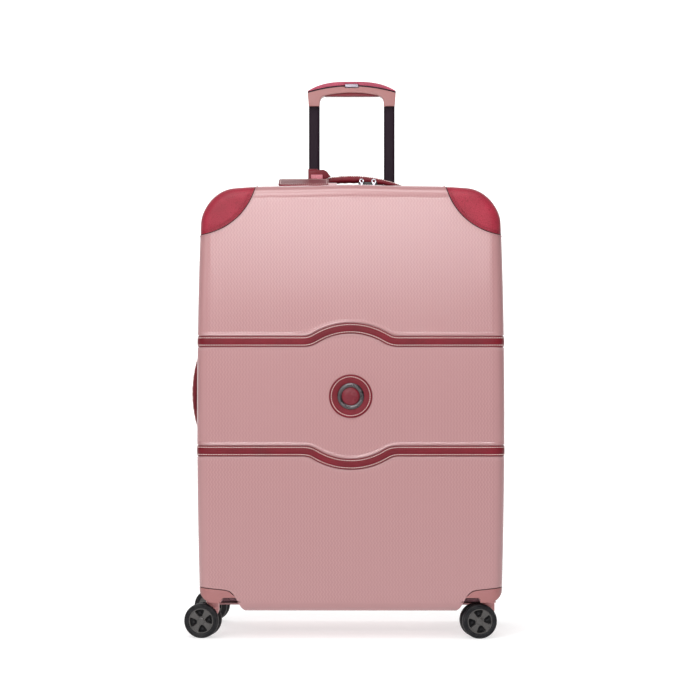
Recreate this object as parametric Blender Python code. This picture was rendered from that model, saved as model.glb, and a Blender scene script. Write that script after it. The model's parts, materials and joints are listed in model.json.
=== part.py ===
"""A large hard-shell suitcase on four twin-wheel castors, with its telescopic handle drawn to its first stop.

Metres, +Z up. The front looks along -Y, and the lid (the front half) opens about the right-hand edge.
The origin is on the floor, under the middle of the whole object's box.
"""

import math

import bmesh
import bpy
from mathutils import Matrix, Vector

# ---- driving dimensions ----
CASE_X = 0.010            # the case's middle plane: the castors and side handle reach further left
HALF_WIDTH = 0.2545       # at the rim, where the two half shells meet
BELLY_Z, TOP_Z = 0.050, 0.7475
DEPTH = 0.155             # rim plane to the outside of either panel
BARREL, BARREL_Z = 0.054, 0.36    # how fast the sides draw in above and below the widest level
CROWN, CROWN_REACH = 0.0034, 0.085    # how far the top falls from its middle, and how soon
SHOULDER, SHOULDER_X = 0.7, 0.14  # a further fall towards the corners
TOP_RADIUS, FOOT_RADIUS = 0.056, 0.026
EDGE_RADIUS, DRAFT = 0.020, 0.002
WALL, RIM_Y = 0.003, 0.011
SLACK = 0.0003            # the least gap between two pieces that touch

STRAP_WIDTH, STRAP_OFFSET = 0.0175, 0.0896    # each strap's level, above or below the medallion
STRAP_BOW, STRAP_FILLET = 0.1114, 0.035       # the bow round the medallion, and its run-in
INLAY_DEPTH, LEATHER = 0.0018, 0.0015
MEDALLION_Z, MEDALLION_RADIUS = 0.3984, 0.0356
CAP_CENTRE, CAP_RADIUS = (0.2587, 0.768), 0.1066

CASTOR_X, CASTOR_Y, TRAIL = 0.2268, 0.120, 0.0172
CASTOR_TURNS = {"front_left": 172, "front_right": 188, "rear_left": 172, "rear_right": -90}
WHEEL_RADIUS, WHEEL_WIDTH, WHEEL_INNER = 0.0285, 0.012, 0.0065
HOUSING_FOOT_Z, HOUSING_END_Y = 0.0605, 0.030

TUBE_X, TUBE_Y = 0.0653, 0.112
OUTER_TUBE, INNER_TUBE, TUBE_WALL = (0.024, 0.017), (0.0188, 0.0125), 0.0012
BEZEL = (0.176, 0.040)
BEZEL_FLOOR_Z, LEG_Z, GRIP_DEPTH = 0.7195, 0.8980, 0.027
INNER_TUBE_END_Z = 0.42
TUNNEL_X, TUNNEL_Y = 0.0985, 0.0885

HANDLE_Y, TOP_HANDLE_HALF, SIDE_HANDLE_HALF = 0.047, 0.092, 0.070
SIDE_HANDLE_Z = 0.400
SLIDER_X = (0.0173, 0.0382)
LOCK_X, LOCK_Y = 0.036, 0.019
TAG_X, TAG_HINGE = -0.0805, (-0.066, 0.0040, 0.7640)

# name: base colour, roughness, metallic
MATERIALS = {
    "shell_pink": ((0.62, 0.33, 0.34), 0.42, 0.0),
    "leather": ((0.27, 0.03, 0.055), 0.55, 0.0),
    "tube_plum": ((0.035, 0.026, 0.034), 0.35, 0.6),
    "tyre": ((0.012, 0.012, 0.013), 0.7, 0.0),
    "chrome": ((0.65, 0.64, 0.62), 0.2, 1.0),
    "black_plastic": ((0.02, 0.02, 0.022), 0.4, 0.0),
    "zip_cloth": ((0.45, 0.21, 0.23), 0.8, 0.0),
    "lining": ((0.30, 0.17, 0.19), 0.85, 0.0),
}


def clear_scene():
    for obj in list(bpy.data.objects):
        bpy.data.objects.remove(obj)


def material(name):
    found = bpy.data.materials.get(name)
    if found:
        return found
    colour, roughness, metallic = MATERIALS[name]
    made = bpy.data.materials.new(name)
    made.use_nodes = True
    shader = made.node_tree.nodes["Principled BSDF"]
    shader.inputs["Base Color"].default_value = (*colour, 1)
    shader.inputs["Roughness"].default_value = roughness
    shader.inputs["Metallic"].default_value = metallic
    made.diffuse_color = (*colour, 1)
    return made


# ---- meshes and their joining ----


def make_object(name, bm, finish="shell_pink"):
    bmesh.ops.recalc_face_normals(bm, faces=bm.faces)
    mesh = bpy.data.meshes.new(name)
    bm.to_mesh(mesh)
    bm.free()
    mesh.materials.append(material(finish))
    obj = bpy.data.objects.new(name, mesh)
    bpy.context.scene.collection.objects.link(obj)
    return obj


def loft(name, rings, finish="shell_pink", closed=False):
    """A solid through rings of equal length: capped at both ends, or closed end to end."""
    bm = bmesh.new()
    loops = [[bm.verts.new(point) for point in ring] for ring in rings]
    spans = list(zip(loops, loops[1:]))
    if closed:
        spans.append((loops[-1], loops[0]))
    else:
        bm.faces.new(loops[0])
        bm.faces.new(loops[-1])
    for near, far in spans:
        for i in range(len(near)):
            j = (i + 1) % len(near)
            bm.faces.new((near[i], near[j], far[j], far[i]))
    return make_object(name, bm, finish)


def prism(name, outline, low, high, axis="y", finish="shell_pink"):
    """An outline drawn across an axis, carried from low to high along it.

    The outline is (x, z) for axis y, (x, y) for z and (y, z) for x.
    """
    place = {
        "x": lambda a, b, t: (t, a, b),
        "y": lambda a, b, t: (a, t, b),
        "z": lambda a, b, t: (a, b, t),
    }[axis]
    rings = [[place(a, b, t) for a, b in outline] for t in (low, high)]
    return loft(name, rings, finish)


def box(name, low, high, finish="shell_pink"):
    outline = [(low[0], low[1]), (high[0], low[1]), (high[0], high[1]), (low[0], high[1])]
    return prism(name, outline, low[2], high[2], "z", finish)


def circle(centre, radius, count=24, start=0.0):
    turns = [start + 2 * math.pi * i / count for i in range(count)]
    return [(centre[0] + radius * math.cos(a), centre[1] + radius * math.sin(a)) for a in turns]


def arc(centre, radius, first, last, count):
    """Points from the first angle to the last, in degrees."""
    turns = [math.radians(first + (last - first) * i / count) for i in range(count + 1)]
    return [(centre[0] + radius * math.cos(a), centre[1] + radius * math.sin(a)) for a in turns]


def rounded(width, height, radius, centre=(0, 0), count=3):
    """A rectangle with round corners."""
    a, b = width / 2 - radius, height / 2 - radius
    corners = ((a, b, 0), (-a, b, 90), (-a, -b, 180), (a, -b, 270))
    points = []
    for x, y, turn in corners:
        points += arc((centre[0] + x, centre[1] + y), radius, turn, turn + 90, count)
    return points


def combine(target, tool, operation="DIFFERENCE"):
    """Cuts, joins or trims target by tool, which is used up."""
    modifier = target.modifiers.new(operation, "BOOLEAN")
    modifier.operation = operation
    modifier.object = tool
    bpy.context.view_layer.update()
    graph = bpy.context.evaluated_depsgraph_get()
    mesh = bpy.data.meshes.new_from_object(target.evaluated_get(graph))
    target.modifiers.clear()
    target.data = mesh
    bpy.data.objects.remove(tool)
    return target


def join(target, *tools):
    for tool in tools:
        combine(target, tool, "UNION")
    return target


def move_origin(obj, origin):
    """Puts the object's origin on its joint's axis, leaving the shape where it is."""
    obj.data.transform(Matrix.Translation(-Vector(origin)))
    obj.location = origin
    return obj


# ---- the case's form, which every shell-shaped piece is cut from ----


def mirrored(outline, side):
    return [(side * x, z) for x, z in outline]


def case_outline(inset, per_corner=5):
    """The case seen from the front, drawn in by inset: barrel sides and a crowned top."""
    low, high, half = BELLY_Z + inset, TOP_Z - inset, HALF_WIDTH - inset
    top, foot = (max(r - inset, 0.003) for r in (TOP_RADIUS, FOOT_RADIUS))
    points = arc((half - top, high - top), top, 0, 90, per_corner)
    points += [(half * t, high) for t in (0.56, 0.34, 0.16, 0.0, -0.16, -0.34, -0.56)]
    points += arc((-half + top, high - top), top, 90, 180, per_corner)
    points += [(-half, low + (high - low) * t) for t in (0.68, 0.45, 0.22)]
    points += arc((-half + foot, low + foot), foot, 180, 270, 3)
    points += arc((half - foot, low + foot), foot, 270, 360, 3)
    points += [(half, low + (high - low) * t) for t in (0.22, 0.45, 0.68)]
    return [warped(x, z) for x, z in points]


def warped(x, z):
    """Gives straight sides their barrel and the top its crown."""
    near_top = min(max((z - 0.57) / 0.15, 0), 1)
    spread = (x / CROWN_REACH) ** 2
    fall = CROWN * spread / (1 + spread) + SHOULDER * max(abs(x) - SHOULDER_X, 0) ** 2
    drawn_in = BARREL * (z - BARREL_Z) ** 2 * x / HALF_WIDTH
    return x - drawn_in, z - fall * near_top


def half_body(name, side, inset=0.0, start=RIM_Y, finish="shell_pink"):
    """The solid form of one half (side -1 front, 1 rear), every surface drawn in by inset."""
    edge = EDGE_RADIUS - inset
    profile = [(inset + DRAFT * start / DEPTH, start), (inset + DRAFT, DEPTH - EDGE_RADIUS)]
    for degrees in (30, 60, 90):
        turn = math.radians(degrees)
        profile.append(
            (inset + DRAFT + edge * (1 - math.cos(turn)), DEPTH - EDGE_RADIUS + edge * math.sin(turn))
        )
    rings = [[(x, side * depth, z) for x, z in case_outline(drawn)] for drawn, depth in profile]
    return loft(name, rings, finish)


def inlay_cutter(outline, side):
    """What a leather inlay's pocket takes out of a half shell: the outline's prism, less the form below."""
    cutter = prism("pocket", outline, side * (RIM_Y + 0.004), side * (DEPTH + 0.01))
    return combine(cutter, half_body("pocket_floor", side, INLAY_DEPTH, 0.0))


def inlay(name, outline, side, start):
    """A leather piece that fills such a pocket, flush with the shell."""
    piece = prism(name, outline, side * start, side * (DEPTH + 0.01), finish="leather")
    combine(piece, half_body("inlay_floor", side, INLAY_DEPTH - SLACK, 0.0))
    return combine(piece, half_body("inlay_face", side, 0.0, 0.005), "INTERSECT")


# ---- outlines ----


def strap_outline(above, width, bowed):
    """A strap across the case; on the front it bows round the medallion."""
    way = 1 if above else -1
    reach = HALF_WIDTH + 0.02

    def edge(shift):
        """One edge, left to right, shift away from the strap's middle line."""
        level, bow, fillet = STRAP_OFFSET + shift, STRAP_BOW + shift, STRAP_FILLET - shift
        if not bowed:
            return [(-reach, level), (reach, level)]
        x_fillet = math.sqrt((bow + fillet) ** 2 - (level + fillet) ** 2)
        turn = math.degrees(math.atan2(level + fillet, x_fillet))
        right = arc((0, 0), bow, 90, turn, 6)[1:]
        right += arc((x_fillet, level + fillet), fillet, 180 + turn, 270, 4)[1:]
        right.append((reach, level))
        return [(-x, z) for x, z in reversed(right)] + [(0, bow)] + right

    loop = edge(width / 2) + list(reversed(edge(-width / 2)))
    return [(x, MEDALLION_Z + way * z) for x, z in loop]


def cap_outline(side, shrink=0.0):
    """A corner cap's disc, centred just outside the case's top corner."""
    centre = (side * CAP_CENTRE[0], CAP_CENTRE[1])
    return circle(centre, CAP_RADIUS - shrink, 48)


def notch_outline(grow):
    """The left wheel housing's corner, cut out of the shell; grown outwards by grow."""
    return [
        (-0.300, 0.0880 + grow),
        (-0.2484, 0.0855 + grow),
        (-0.2000, 0.0806 + grow),
        (-0.1925 + 0.4 * grow, 0.0790 + 0.9 * grow),
        (-0.1862 + 0.8 * grow, 0.0738 + 0.6 * grow),
        (-0.1768 + grow, 0.0580 + 0.4 * grow),
        (-0.1700 + grow, 0.0500),
        (-0.1650 + grow, 0.0300),
        (-0.300, 0.0300),
    ]


def housing_outline():
    """The left wheel housing seen from the front, with its own rounded outer corner."""
    gap = 0.0006
    corner = arc((-0.2250, 0.0845), 0.0240, 180, 270, 5)
    upper = notch_outline(-gap)
    return [(-0.300, 0.0874), *upper[1:5], (-0.1792, HOUSING_FOOT_Z), *reversed(corner)]


# ---- shells and what is set into them ----


def half_shell(name, side, bowed):
    shell = half_body(name, side)
    cavity = half_body("cavity", side, WALL, RIM_Y - 0.006)
    for hand in (1, -1):
        outer = mirrored(notch_outline(0.0), hand)
        inner = mirrored(notch_outline(WALL), hand)
        combine(shell, prism("notch", outer, side * HOUSING_END_Y, side * 0.2))
        combine(cavity, prism("notch_wall", inner, side * (HOUSING_END_Y - WALL), side * 0.2))
    combine(shell, cavity)
    for above in (True, False):
        combine(shell, inlay_cutter(strap_outline(above, STRAP_WIDTH, bowed), side))
    for hand in (1, -1):
        combine(shell, inlay_cutter(cap_outline(hand), side))
    return shell


def leather_trim(front_or_rear, side, bowed):
    """The two straps and two corner caps of one half."""
    for above, level in ((True, "upper"), (False, "lower")):
        outline = strap_outline(above, STRAP_WIDTH - 2 * SLACK, bowed)
        inlay(f"{front_or_rear}_{level}_strap", outline, side, RIM_Y + 0.0045)
    for hand, word in ((-1, "left"), (1, "right")):
        outline = cap_outline(hand, SLACK)
        inlay(f"{front_or_rear}_{word}_corner_cap", outline, side, RIM_Y + 0.0045)


def zip_tape(name, side):
    """One side of the zip: a cloth band inside the shell's rim, with its row of teeth as a bead."""
    profile = (
        (0.0020, SLACK / 2),
        (0.0020, 0.0030),
        (WALL + SLACK, 0.0030),
        (WALL + SLACK, 0.0190),
        (0.0045, 0.0190),
        (0.0045, SLACK / 2),
    )
    rings = [[(x, side * depth, z) for x, z in case_outline(inset)] for inset, depth in profile]
    return loft(name, rings, "zip_cloth", closed=True)


def lining(name, side, tunnel):
    """The cloth lining of one half, standing clear of the handle's tubes where there are any."""
    outer, inner = WALL + 0.0019, WALL + 0.0031
    cloth = half_body(name, side, outer, RIM_Y + 0.0005, "lining")
    hollow = half_body("lining_hollow", side, inner, RIM_Y - 0.006)
    for hand in (1, -1):
        for solid, grow in ((cloth, outer + 0.001), (hollow, inner + 0.001)):
            notch = mirrored(notch_outline(grow), hand)
            end = side * (HOUSING_END_Y - grow)
            combine(solid, prism("notch", notch, end, side * 0.2))
    if tunnel:
        low, high = (-TUNNEL_X, TUNNEL_Y, 0), (TUNNEL_X, 0.2, 1)
        combine(hollow, box("tunnel", low, high))
    combine(cloth, hollow)
    if tunnel:
        skin = 0.0012
        low, high = (-TUNNEL_X + skin, TUNNEL_Y + skin, 0), (TUNNEL_X - skin, 0.2, 1)
        combine(cloth, box("tunnel", low, high))
    return cloth


def divider():
    """The zip-up divider that closes the lid's half, a flat cloth panel."""
    rings = [[(x, y, z) for x, z in case_outline(0.0085)] for y in (-0.0135, -0.0115)]
    return loft("divider_panel", rings, "lining")


def packing_straps():
    """Two elastic straps across the rear half, one over the other."""
    low_z, high_z, reach, half = 0.150, 0.640, 0.236, 0.0125
    for name, rise, y in (("packing_strap_a", 1, 0.0140), ("packing_strap_b", -1, 0.0160)):
        ends = (low_z, high_z)[::rise]
        outline = [
            (-reach, ends[0] - half),
            (reach, ends[1] - half),
            (reach, ends[1] + half),
            (-reach, ends[0] + half),
        ]
        prism(name, outline, y, y + 0.0012, finish="lining")


def hinge_gusset():
    """The cloth hinge inside the right-hand rim, folded away on the rear half's side."""
    x = HALF_WIDTH - 0.0072
    outline = [warped(x + t, z) for z in (0.12, 0.28, 0.44, 0.60, 0.66) for t in (0.0,)]
    outline += [(a - 0.0010, b) for a, b in reversed(outline)]
    return prism("hinge_gusset", outline, 0.0006, 0.0110, finish="zip_cloth")


def medallion():
    """The stitched leather disc on the front and the metal ring round its domed middle."""
    face = -DEPTH
    centre = (0.0, MEDALLION_Z)
    disc = prism("medallion_disc", circle(centre, MEDALLION_RADIUS, 36), face - 0.0018, face - SLACK,
                 finish="leather")
    dome = [
        [(x, face - y, z) for x, z in circle(centre, r, 24)]
        for r, y in ((0.0150, 0.0010), (0.0146, 0.0028), (0.0085, 0.0040))
    ]
    join(disc, loft("dome", dome, "leather"))
    profile = ((0.0153, 0.0021), (0.0153, 0.0034), (0.0185, 0.0048), (0.0218, 0.0034), (0.0218, 0.0021))
    rings = [[(x, face - y, z) for x, z in circle(centre, r, 32)] for r, y in profile]
    loft("medallion_ring", rings, "chrome", closed=True)


# ---- castors ----


def wheel_housing(name, side, hand):
    """A moulded corner that holds one castor: hand -1 left, 1 right."""
    outline = mirrored(housing_outline(), -hand)
    housing = prism(name, outline, side * (HOUSING_END_Y + 0.0006), side * 0.2)
    combine(housing, half_body("housing_skin", side, 0.0, 0.0), "INTERSECT")
    x, y = hand * CASTOR_X, side * CASTOR_Y
    combine(housing, prism("stem_bore", circle((x, y), 0.0044, 16), 0.05, 0.0735, "z"))
    low = min(hand * 0.186, hand * 0.2135), min(side * 0.085, side * 0.2), 0.05
    high = max(hand * 0.186, hand * 0.2135), max(side * 0.085, side * 0.2), 0.0665
    return combine(housing, box("finger_slot", low, high))


def castor(prefix, hand, side):
    """A swivel fork and its two wheels, which trail behind the stem at an angle from +X."""
    pivot = Vector((hand * CASTOR_X, side * CASTOR_Y, 0.0))
    turn = Matrix.Translation(pivot) @ Matrix.Rotation(math.radians(CASTOR_TURNS[prefix]), 4, "Z")
    axle_z = WHEEL_RADIUS
    half_blade = WHEEL_INNER - 0.0012
    blade = [(-0.0093, 0.0580), (-0.0093, 0.0450), (-0.0060, 0.0360)]
    blade += arc((TRAIL, axle_z), 0.0090, 225, 400, 8)
    blade += [(0.0150, 0.0440), (0.0093, 0.0510), (0.0093, 0.0580)]
    fork = prism(f"{prefix}_fork", blade, -half_blade, half_blade)
    flange = prism("flange", circle((0, 0), 0.0125, 20), 0.0577, 0.0597, "z")
    stem = prism("stem", circle((0, 0), 0.0040, 14), 0.0590, 0.0725, "z")
    axle_half = WHEEL_INNER + WHEEL_WIDTH - 0.0025
    axle = prism("axle", circle((TRAIL, axle_z), 0.0030, 12), -axle_half, axle_half)
    join(fork, flange, stem, axle)
    fork.data.transform(turn)
    move_origin(fork, (pivot.x, pivot.y, 0.0577))
    for word, way in (("outer", 1), ("inner", -1)):
        near, far = way * WHEEL_INNER, way * (WHEEL_INNER + WHEEL_WIDTH)
        shoulder = way * 0.0016
        stations = (
            (near, 0.0262),
            (near + shoulder, WHEEL_RADIUS),
            (far - shoulder, WHEEL_RADIUS),
            (far, 0.0262),
        )
        rings = [[(x, y, z) for x, z in circle((TRAIL, axle_z), r, 32)] for y, r in stations]
        wheel = loft(f"{prefix}_{word}_wheel", rings, "tyre")
        combine(wheel, prism("bore", circle((TRAIL, axle_z), 0.0034, 12), near - 0.02, near + 0.02))
        wheel.data.transform(turn)
        hub = turn @ Vector((TRAIL, (near + far) / 2, axle_z))
        move_origin(wheel, hub)


# ---- the telescopic handle ----


def trolley_fixed_parts():
    x0, z = TUBE_X, BEZEL_FLOOR_Z
    bezel = prism("trolley_bezel", rounded(BEZEL[0] + 0.008, BEZEL[1] + 0.006, 0.010, (0, TUBE_Y)),
                  0.7462, 0.7484, "z")
    cup = prism("cup", rounded(*BEZEL, 0.008, (0, TUBE_Y)), z, 0.7470, "z")
    join(bezel, cup)
    pocket = rounded(BEZEL[0] - 0.006, BEZEL[1] - 0.006, 0.006, (0, TUBE_Y))
    combine(bezel, prism("pocket", pocket, z + 0.002, 0.76, "z"))
    hole = (INNER_TUBE[0] + 0.0016, INNER_TUBE[1] + 0.0016)
    foot = prism("trolley_foot", rounded(0.190, 0.024, 0.004, (0, TUBE_Y)), 0.0556, 0.0655, "z")
    foot.data.materials.clear()
    foot.data.materials.append(material("black_plastic"))
    for side, word in ((-1, "left"), (1, "right")):
        centre = (side * x0, TUBE_Y)
        combine(bezel, prism("tube_hole", rounded(*hole, 0.004, centre), z - 0.01, z + 0.01, "z"))
        tube = prism(f"{word}_outer_tube", rounded(*OUTER_TUBE, 0.005, centre),
                     0.0659, z - SLACK, "z", "tube_plum")
        inside = [d - 2 * TUBE_WALL for d in OUTER_TUBE]
        combine(tube, prism("inside", rounded(*inside, 0.004, centre), 0.0, 1.0, "z"))
    return bezel


def bezel_opening():
    """The hole that the bezel's cup needs in the rear shell and in its lining."""
    outline = rounded(BEZEL[0] + 0.0008, BEZEL[1] + 0.0008, 0.0084, (0, TUBE_Y))
    return prism("bezel_opening", outline, 0.70, 0.80, "z")


def trolley_moving_parts():
    for side, word in ((-1, "left"), (1, "right")):
        centre = (side * TUBE_X, TUBE_Y)
        tube = prism(f"{word}_inner_tube", rounded(*INNER_TUBE, 0.0042, centre),
                     INNER_TUBE_END_Z, LEG_Z - SLACK, "z", "tube_plum")
        inside = [d - 2 * TUBE_WALL for d in INNER_TUBE]
        combine(tube, prism("inside", rounded(*inside, 0.003, centre), 0.0, LEG_Z - 0.004, "z"))
    low_y, high_y = TUBE_Y - GRIP_DEPTH / 2, TUBE_Y + GRIP_DEPTH / 2
    seam = arch(0.0752, 0.9222, 0.9346)
    frame = prism("grip_frame", grip_frame_outline(seam), low_y, high_y)
    slot = box("button_slot", (-0.0118, low_y - 0.01, 0.9298), (0.0118, low_y + 0.007, 0.9336))
    combine(frame, slot)
    cover_foot, cover_top = arch(0.0752, 0.9225, 0.9349), arch(0.0752, 0.9243, 0.9409)
    prism("grip_cover", cover_top + list(reversed(cover_foot)), low_y, high_y, finish="leather")
    low, high = (-0.0114, low_y - 0.0012, 0.9302), (0.0114, low_y + 0.0040, 0.9332)
    move_origin(box("release_button", low, high, "chrome"), (0, low_y, 0.9317))


def arch(half, end_z, mid_z, count=10):
    """A shallow arc through both ends and the middle, left to right."""
    rise = mid_z - end_z
    radius = (half**2 + rise**2) / (2 * rise)
    reach = math.degrees(math.asin(half / radius))
    return arc((0, mid_z - radius), radius, 90 + reach, 90 - reach, count)


def grip_frame_outline(seam):
    """The grip from the front: two legs and the bar between them."""
    right = [(0.0765, 0.9180), (0.0749, LEG_Z), (0.0561, LEG_Z), (0.0556, 0.9065)]
    right += arc((0.0466, 0.9065), 0.0090, 0, 90, 4)[1:]
    left = [(-x, z) for x, z in reversed(right)]
    return seam + right + left


# ---- carrying handles, tag, zip pulls and lock ----


def bow_handle(name, half, rise, thick):
    """A padded bow along X over z = 0: rise is its middle line's height above its ends."""
    rings = []
    for i in range(13):
        t = -1 + 2 * i / 12
        lift = 1 - t * t
        across, deep = 0.010 + 0.003 * lift, 0.0025 + (thick / 2 - 0.0025) * lift**0.8
        ring = []
        for k in range(10):
            a = 2 * math.pi * (k + 0.5) / 10
            y = across * math.copysign(abs(math.cos(a)) ** 0.7, math.cos(a))
            z = deep * math.copysign(abs(math.sin(a)) ** 0.7, math.sin(a))
            ring.append((half * t, y, 0.0040 + rise * lift + z))
        rings.append(ring)
    return loft(name, rings, "leather")


def handle_base(name, half):
    """The plate under a bow handle, with a socket at each end that holds the bow."""
    base = prism(name, rounded(2 * half + 0.012, 0.028, 0.006), -0.0004, 0.0008, "z", "leather")
    for side in (-1, 1):
        socket = rounded(0.0080, 0.028, 0.003, (side * (half + 0.0052), 0))
        join(base, prism("socket", socket, 0.0, 0.0075, "z", "leather"))
    return base


def set_on_side(obj):
    """Carries a handle made along X over z = 0 onto the left side wall."""
    wall_x = -(HALF_WIDTH + 0.0001)
    obj.data.transform(
        Matrix.Translation((wall_x, HANDLE_Y, SIDE_HANDLE_Z)) @ Matrix.Rotation(math.radians(-90), 4, "Y")
    )
    return move_origin(obj, (wall_x, HANDLE_Y, SIDE_HANDLE_Z))


def carrying_handles():
    for obj in (bow_handle("top_handle", TOP_HANDLE_HALF, 0.0152, 0.0127),
                handle_base("top_handle_base", TOP_HANDLE_HALF)):
        obj.data.transform(Matrix.Translation((0, HANDLE_Y, TOP_Z)))
        move_origin(obj, (0, HANDLE_Y, TOP_Z))
    set_on_side(bow_handle("side_handle", SIDE_HANDLE_HALF, 0.0096, 0.0110))
    set_on_side(handle_base("side_handle_base", SIDE_HANDLE_HALF))


def luggage_tag():
    """A leather tag that leans against the handle, and the belt that holds it there."""
    hinge = Vector(TAG_HINGE)
    plate = prism("luggage_tag", rounded(0.084, 0.046, 0.006, (TAG_X, -0.0245)), -0.0015, 0.0015,
                  "z", "leather")
    lean = Matrix.Rotation(math.radians(16), 4, "X")
    centre = Vector((0, hinge.y, hinge.z))
    eye = [(-0.0045, -0.0012), *arc((0, 0), 0.0015, 270, 450, 8), (-0.0045, 0.0012)]
    join(plate, prism("eye", eye, hinge.x - 0.0080, hinge.x + 0.0080, "x"))
    plate.data.transform(Matrix.Translation(centre) @ lean)
    move_origin(plate, TAG_HINGE)
    x = hinge.x
    outer = rounded(0.0430, 0.0345, 0.0070, (0.0465, 0.7668))
    inner = rounded(0.0390, 0.0315, 0.0055, (0.0465, 0.7668))
    belt = prism("tag_belt", outer, x - 0.008, x + 0.008, "x", "leather")
    combine(belt, prism("belt_inside", inner, x - 0.02, x + 0.02, "x"))
    flap = prism("flap", rounded(0.0200, 0.0020, 0.0008, (0.0159, hinge.z)), x - 0.008, x + 0.008, "x")
    return join(belt, flap)


def zip_sliders():
    """Two sliders on the zip's top run, each with a pull that stands up in the lock's dock."""
    top = TOP_Z - 0.0020
    for word, x in zip(("left", "right"), SLIDER_X):
        plate = prism(f"{word}_zip_slider", rounded(0.0100, 0.0100, 0.0030, (x, 0)),
                      top + 0.0006, top + 0.0022, "z", "chrome")
        for way in (-1, 1):
            low, high = (x + way * 0.0028 - 0.0008, -0.0020, top + 0.0020), ()
            high = (x + way * 0.0028 + 0.0008, 0.0020, top + 0.0052)
            join(plate, box("bail", low, high))
        move_origin(plate, (x, 0, top + 0.0030))
        tab = prism(f"{word}_zip_pull", pull_outline(x, top), -0.0011, 0.0011, finish="chrome")
        combine(tab, prism("eye", circle((x, top + 0.0155), 0.0022, 12), -0.01, 0.01))
        move_origin(tab, (x, 0, top + 0.0038))


def pull_outline(x, top):
    """A zip pull seen from the front: a narrow foot and a round head."""
    head = arc((x, top + 0.0155), 0.0042, -50, 230, 12)
    return [(x - 0.0014, top + 0.0028), (x + 0.0014, top + 0.0028), *head]


def combination_lock():
    """The lock beside the zip: a low housing, three number wheels, and the dock for the zip pulls."""
    z = TOP_Z - SLACK
    x0, y0 = LOCK_X, LOCK_Y
    housing = prism("lock_housing", rounded(0.066, 0.0190, 0.004, (x0, y0 - 0.0015)), z + 0.0006,
                    z + 0.0060, "z", "black_plastic")
    dock = prism("dock", [(0.0090, z + 0.003), (0.0125, z + 0.003), (0.0125, z + 0.0118), (0.0090, z + 0.0130)],
                 x0 - 0.0240, x0 + 0.0080, "x")
    join(housing, dock)
    window = (0.0145, 0.0245)
    low, high = (x0 - 0.0245, window[0], z), (x0 + 0.0010, window[1], z + 0.02)
    combine(housing, box("dial_window", low, high))
    low, high = (x0 + 0.0135, window[0], z + 0.0022), (x0 + 0.0285, window[1], z + 0.02)
    combine(housing, box("button_window", low, high))
    for i in range(3):
        x = x0 - 0.0198 + 0.0080 * i
        dial = prism(f"lock_dial_{i + 1}", circle((0.0195, z + 0.0042), 0.0036, 20), x - 0.0027,
                     x + 0.0027, "x", "black_plastic")
        move_origin(dial, (x, 0.0195, z + 0.0042))
    low, high = (x0 + 0.0140, window[0] + 0.0006, z + 0.0026), (x0 + 0.0240, window[1] - 0.0006, z + 0.0076)
    move_origin(box("lock_button", low, high, "chrome"), (x0 + 0.0190, 0.0195, z + 0.0050))


# ---- the whole case ----


def build():
    clear_scene()
    rear = half_shell("rear_shell", 1, False)
    combine(rear, bezel_opening())
    half_shell("front_shell", -1, True)
    leather_trim("rear", 1, False)
    leather_trim("front", -1, True)
    zip_tape("rear_zip_tape", 1)
    zip_tape("front_zip_tape", -1)
    combine(lining("rear_lining", 1, True), bezel_opening())
    lining("front_lining", -1, False)
    divider()
    packing_straps()
    hinge_gusset()
    medallion()
    for end, side in (("front", -1), ("rear", 1)):
        for word, hand in (("left", -1), ("right", 1)):
            wheel_housing(f"{end}_{word}_wheel_housing", side, hand)
            castor(f"{end}_{word}", hand, side)
    trolley_fixed_parts()
    trolley_moving_parts()
    carrying_handles()
    luggage_tag()
    zip_sliders()
    combination_lock()
    case = bpy.data.objects.new("case", None)
    bpy.context.scene.collection.objects.link(case)
    case.location.x = CASE_X
    for obj in bpy.context.scene.objects:
        if obj.type == "MESH":
            obj.parent = case


build()
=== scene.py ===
"""A hard-shell suitcase dressed for a studio picture, in the order it is put together."""

import json
import math

import bmesh
import bpy
from mathutils import Matrix, Vector


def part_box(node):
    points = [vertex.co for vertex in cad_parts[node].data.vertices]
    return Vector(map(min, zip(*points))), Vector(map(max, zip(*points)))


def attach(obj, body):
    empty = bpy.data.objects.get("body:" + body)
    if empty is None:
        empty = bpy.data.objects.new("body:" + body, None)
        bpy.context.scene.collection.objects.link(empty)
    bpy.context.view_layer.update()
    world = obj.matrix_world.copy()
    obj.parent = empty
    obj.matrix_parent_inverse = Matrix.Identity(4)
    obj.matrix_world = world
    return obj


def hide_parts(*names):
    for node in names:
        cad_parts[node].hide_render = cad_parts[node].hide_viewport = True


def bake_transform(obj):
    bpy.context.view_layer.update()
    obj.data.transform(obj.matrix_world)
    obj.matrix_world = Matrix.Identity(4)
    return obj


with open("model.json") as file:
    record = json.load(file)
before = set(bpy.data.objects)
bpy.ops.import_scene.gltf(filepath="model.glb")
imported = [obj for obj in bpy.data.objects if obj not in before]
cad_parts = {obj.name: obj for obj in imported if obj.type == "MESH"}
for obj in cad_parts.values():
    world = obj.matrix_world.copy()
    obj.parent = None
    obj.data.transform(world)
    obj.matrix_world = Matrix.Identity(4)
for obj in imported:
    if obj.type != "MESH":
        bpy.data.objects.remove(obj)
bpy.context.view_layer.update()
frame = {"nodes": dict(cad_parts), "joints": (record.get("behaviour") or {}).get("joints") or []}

# ---- Half shells ----
# Two vacuum-formed polycarbonate trays that meet at the zip. The mould presses a fine woven relief into the
# walls and leaves the rounded edges smooth. Channels take the straps, and lipped pockets the corner caps.

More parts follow.
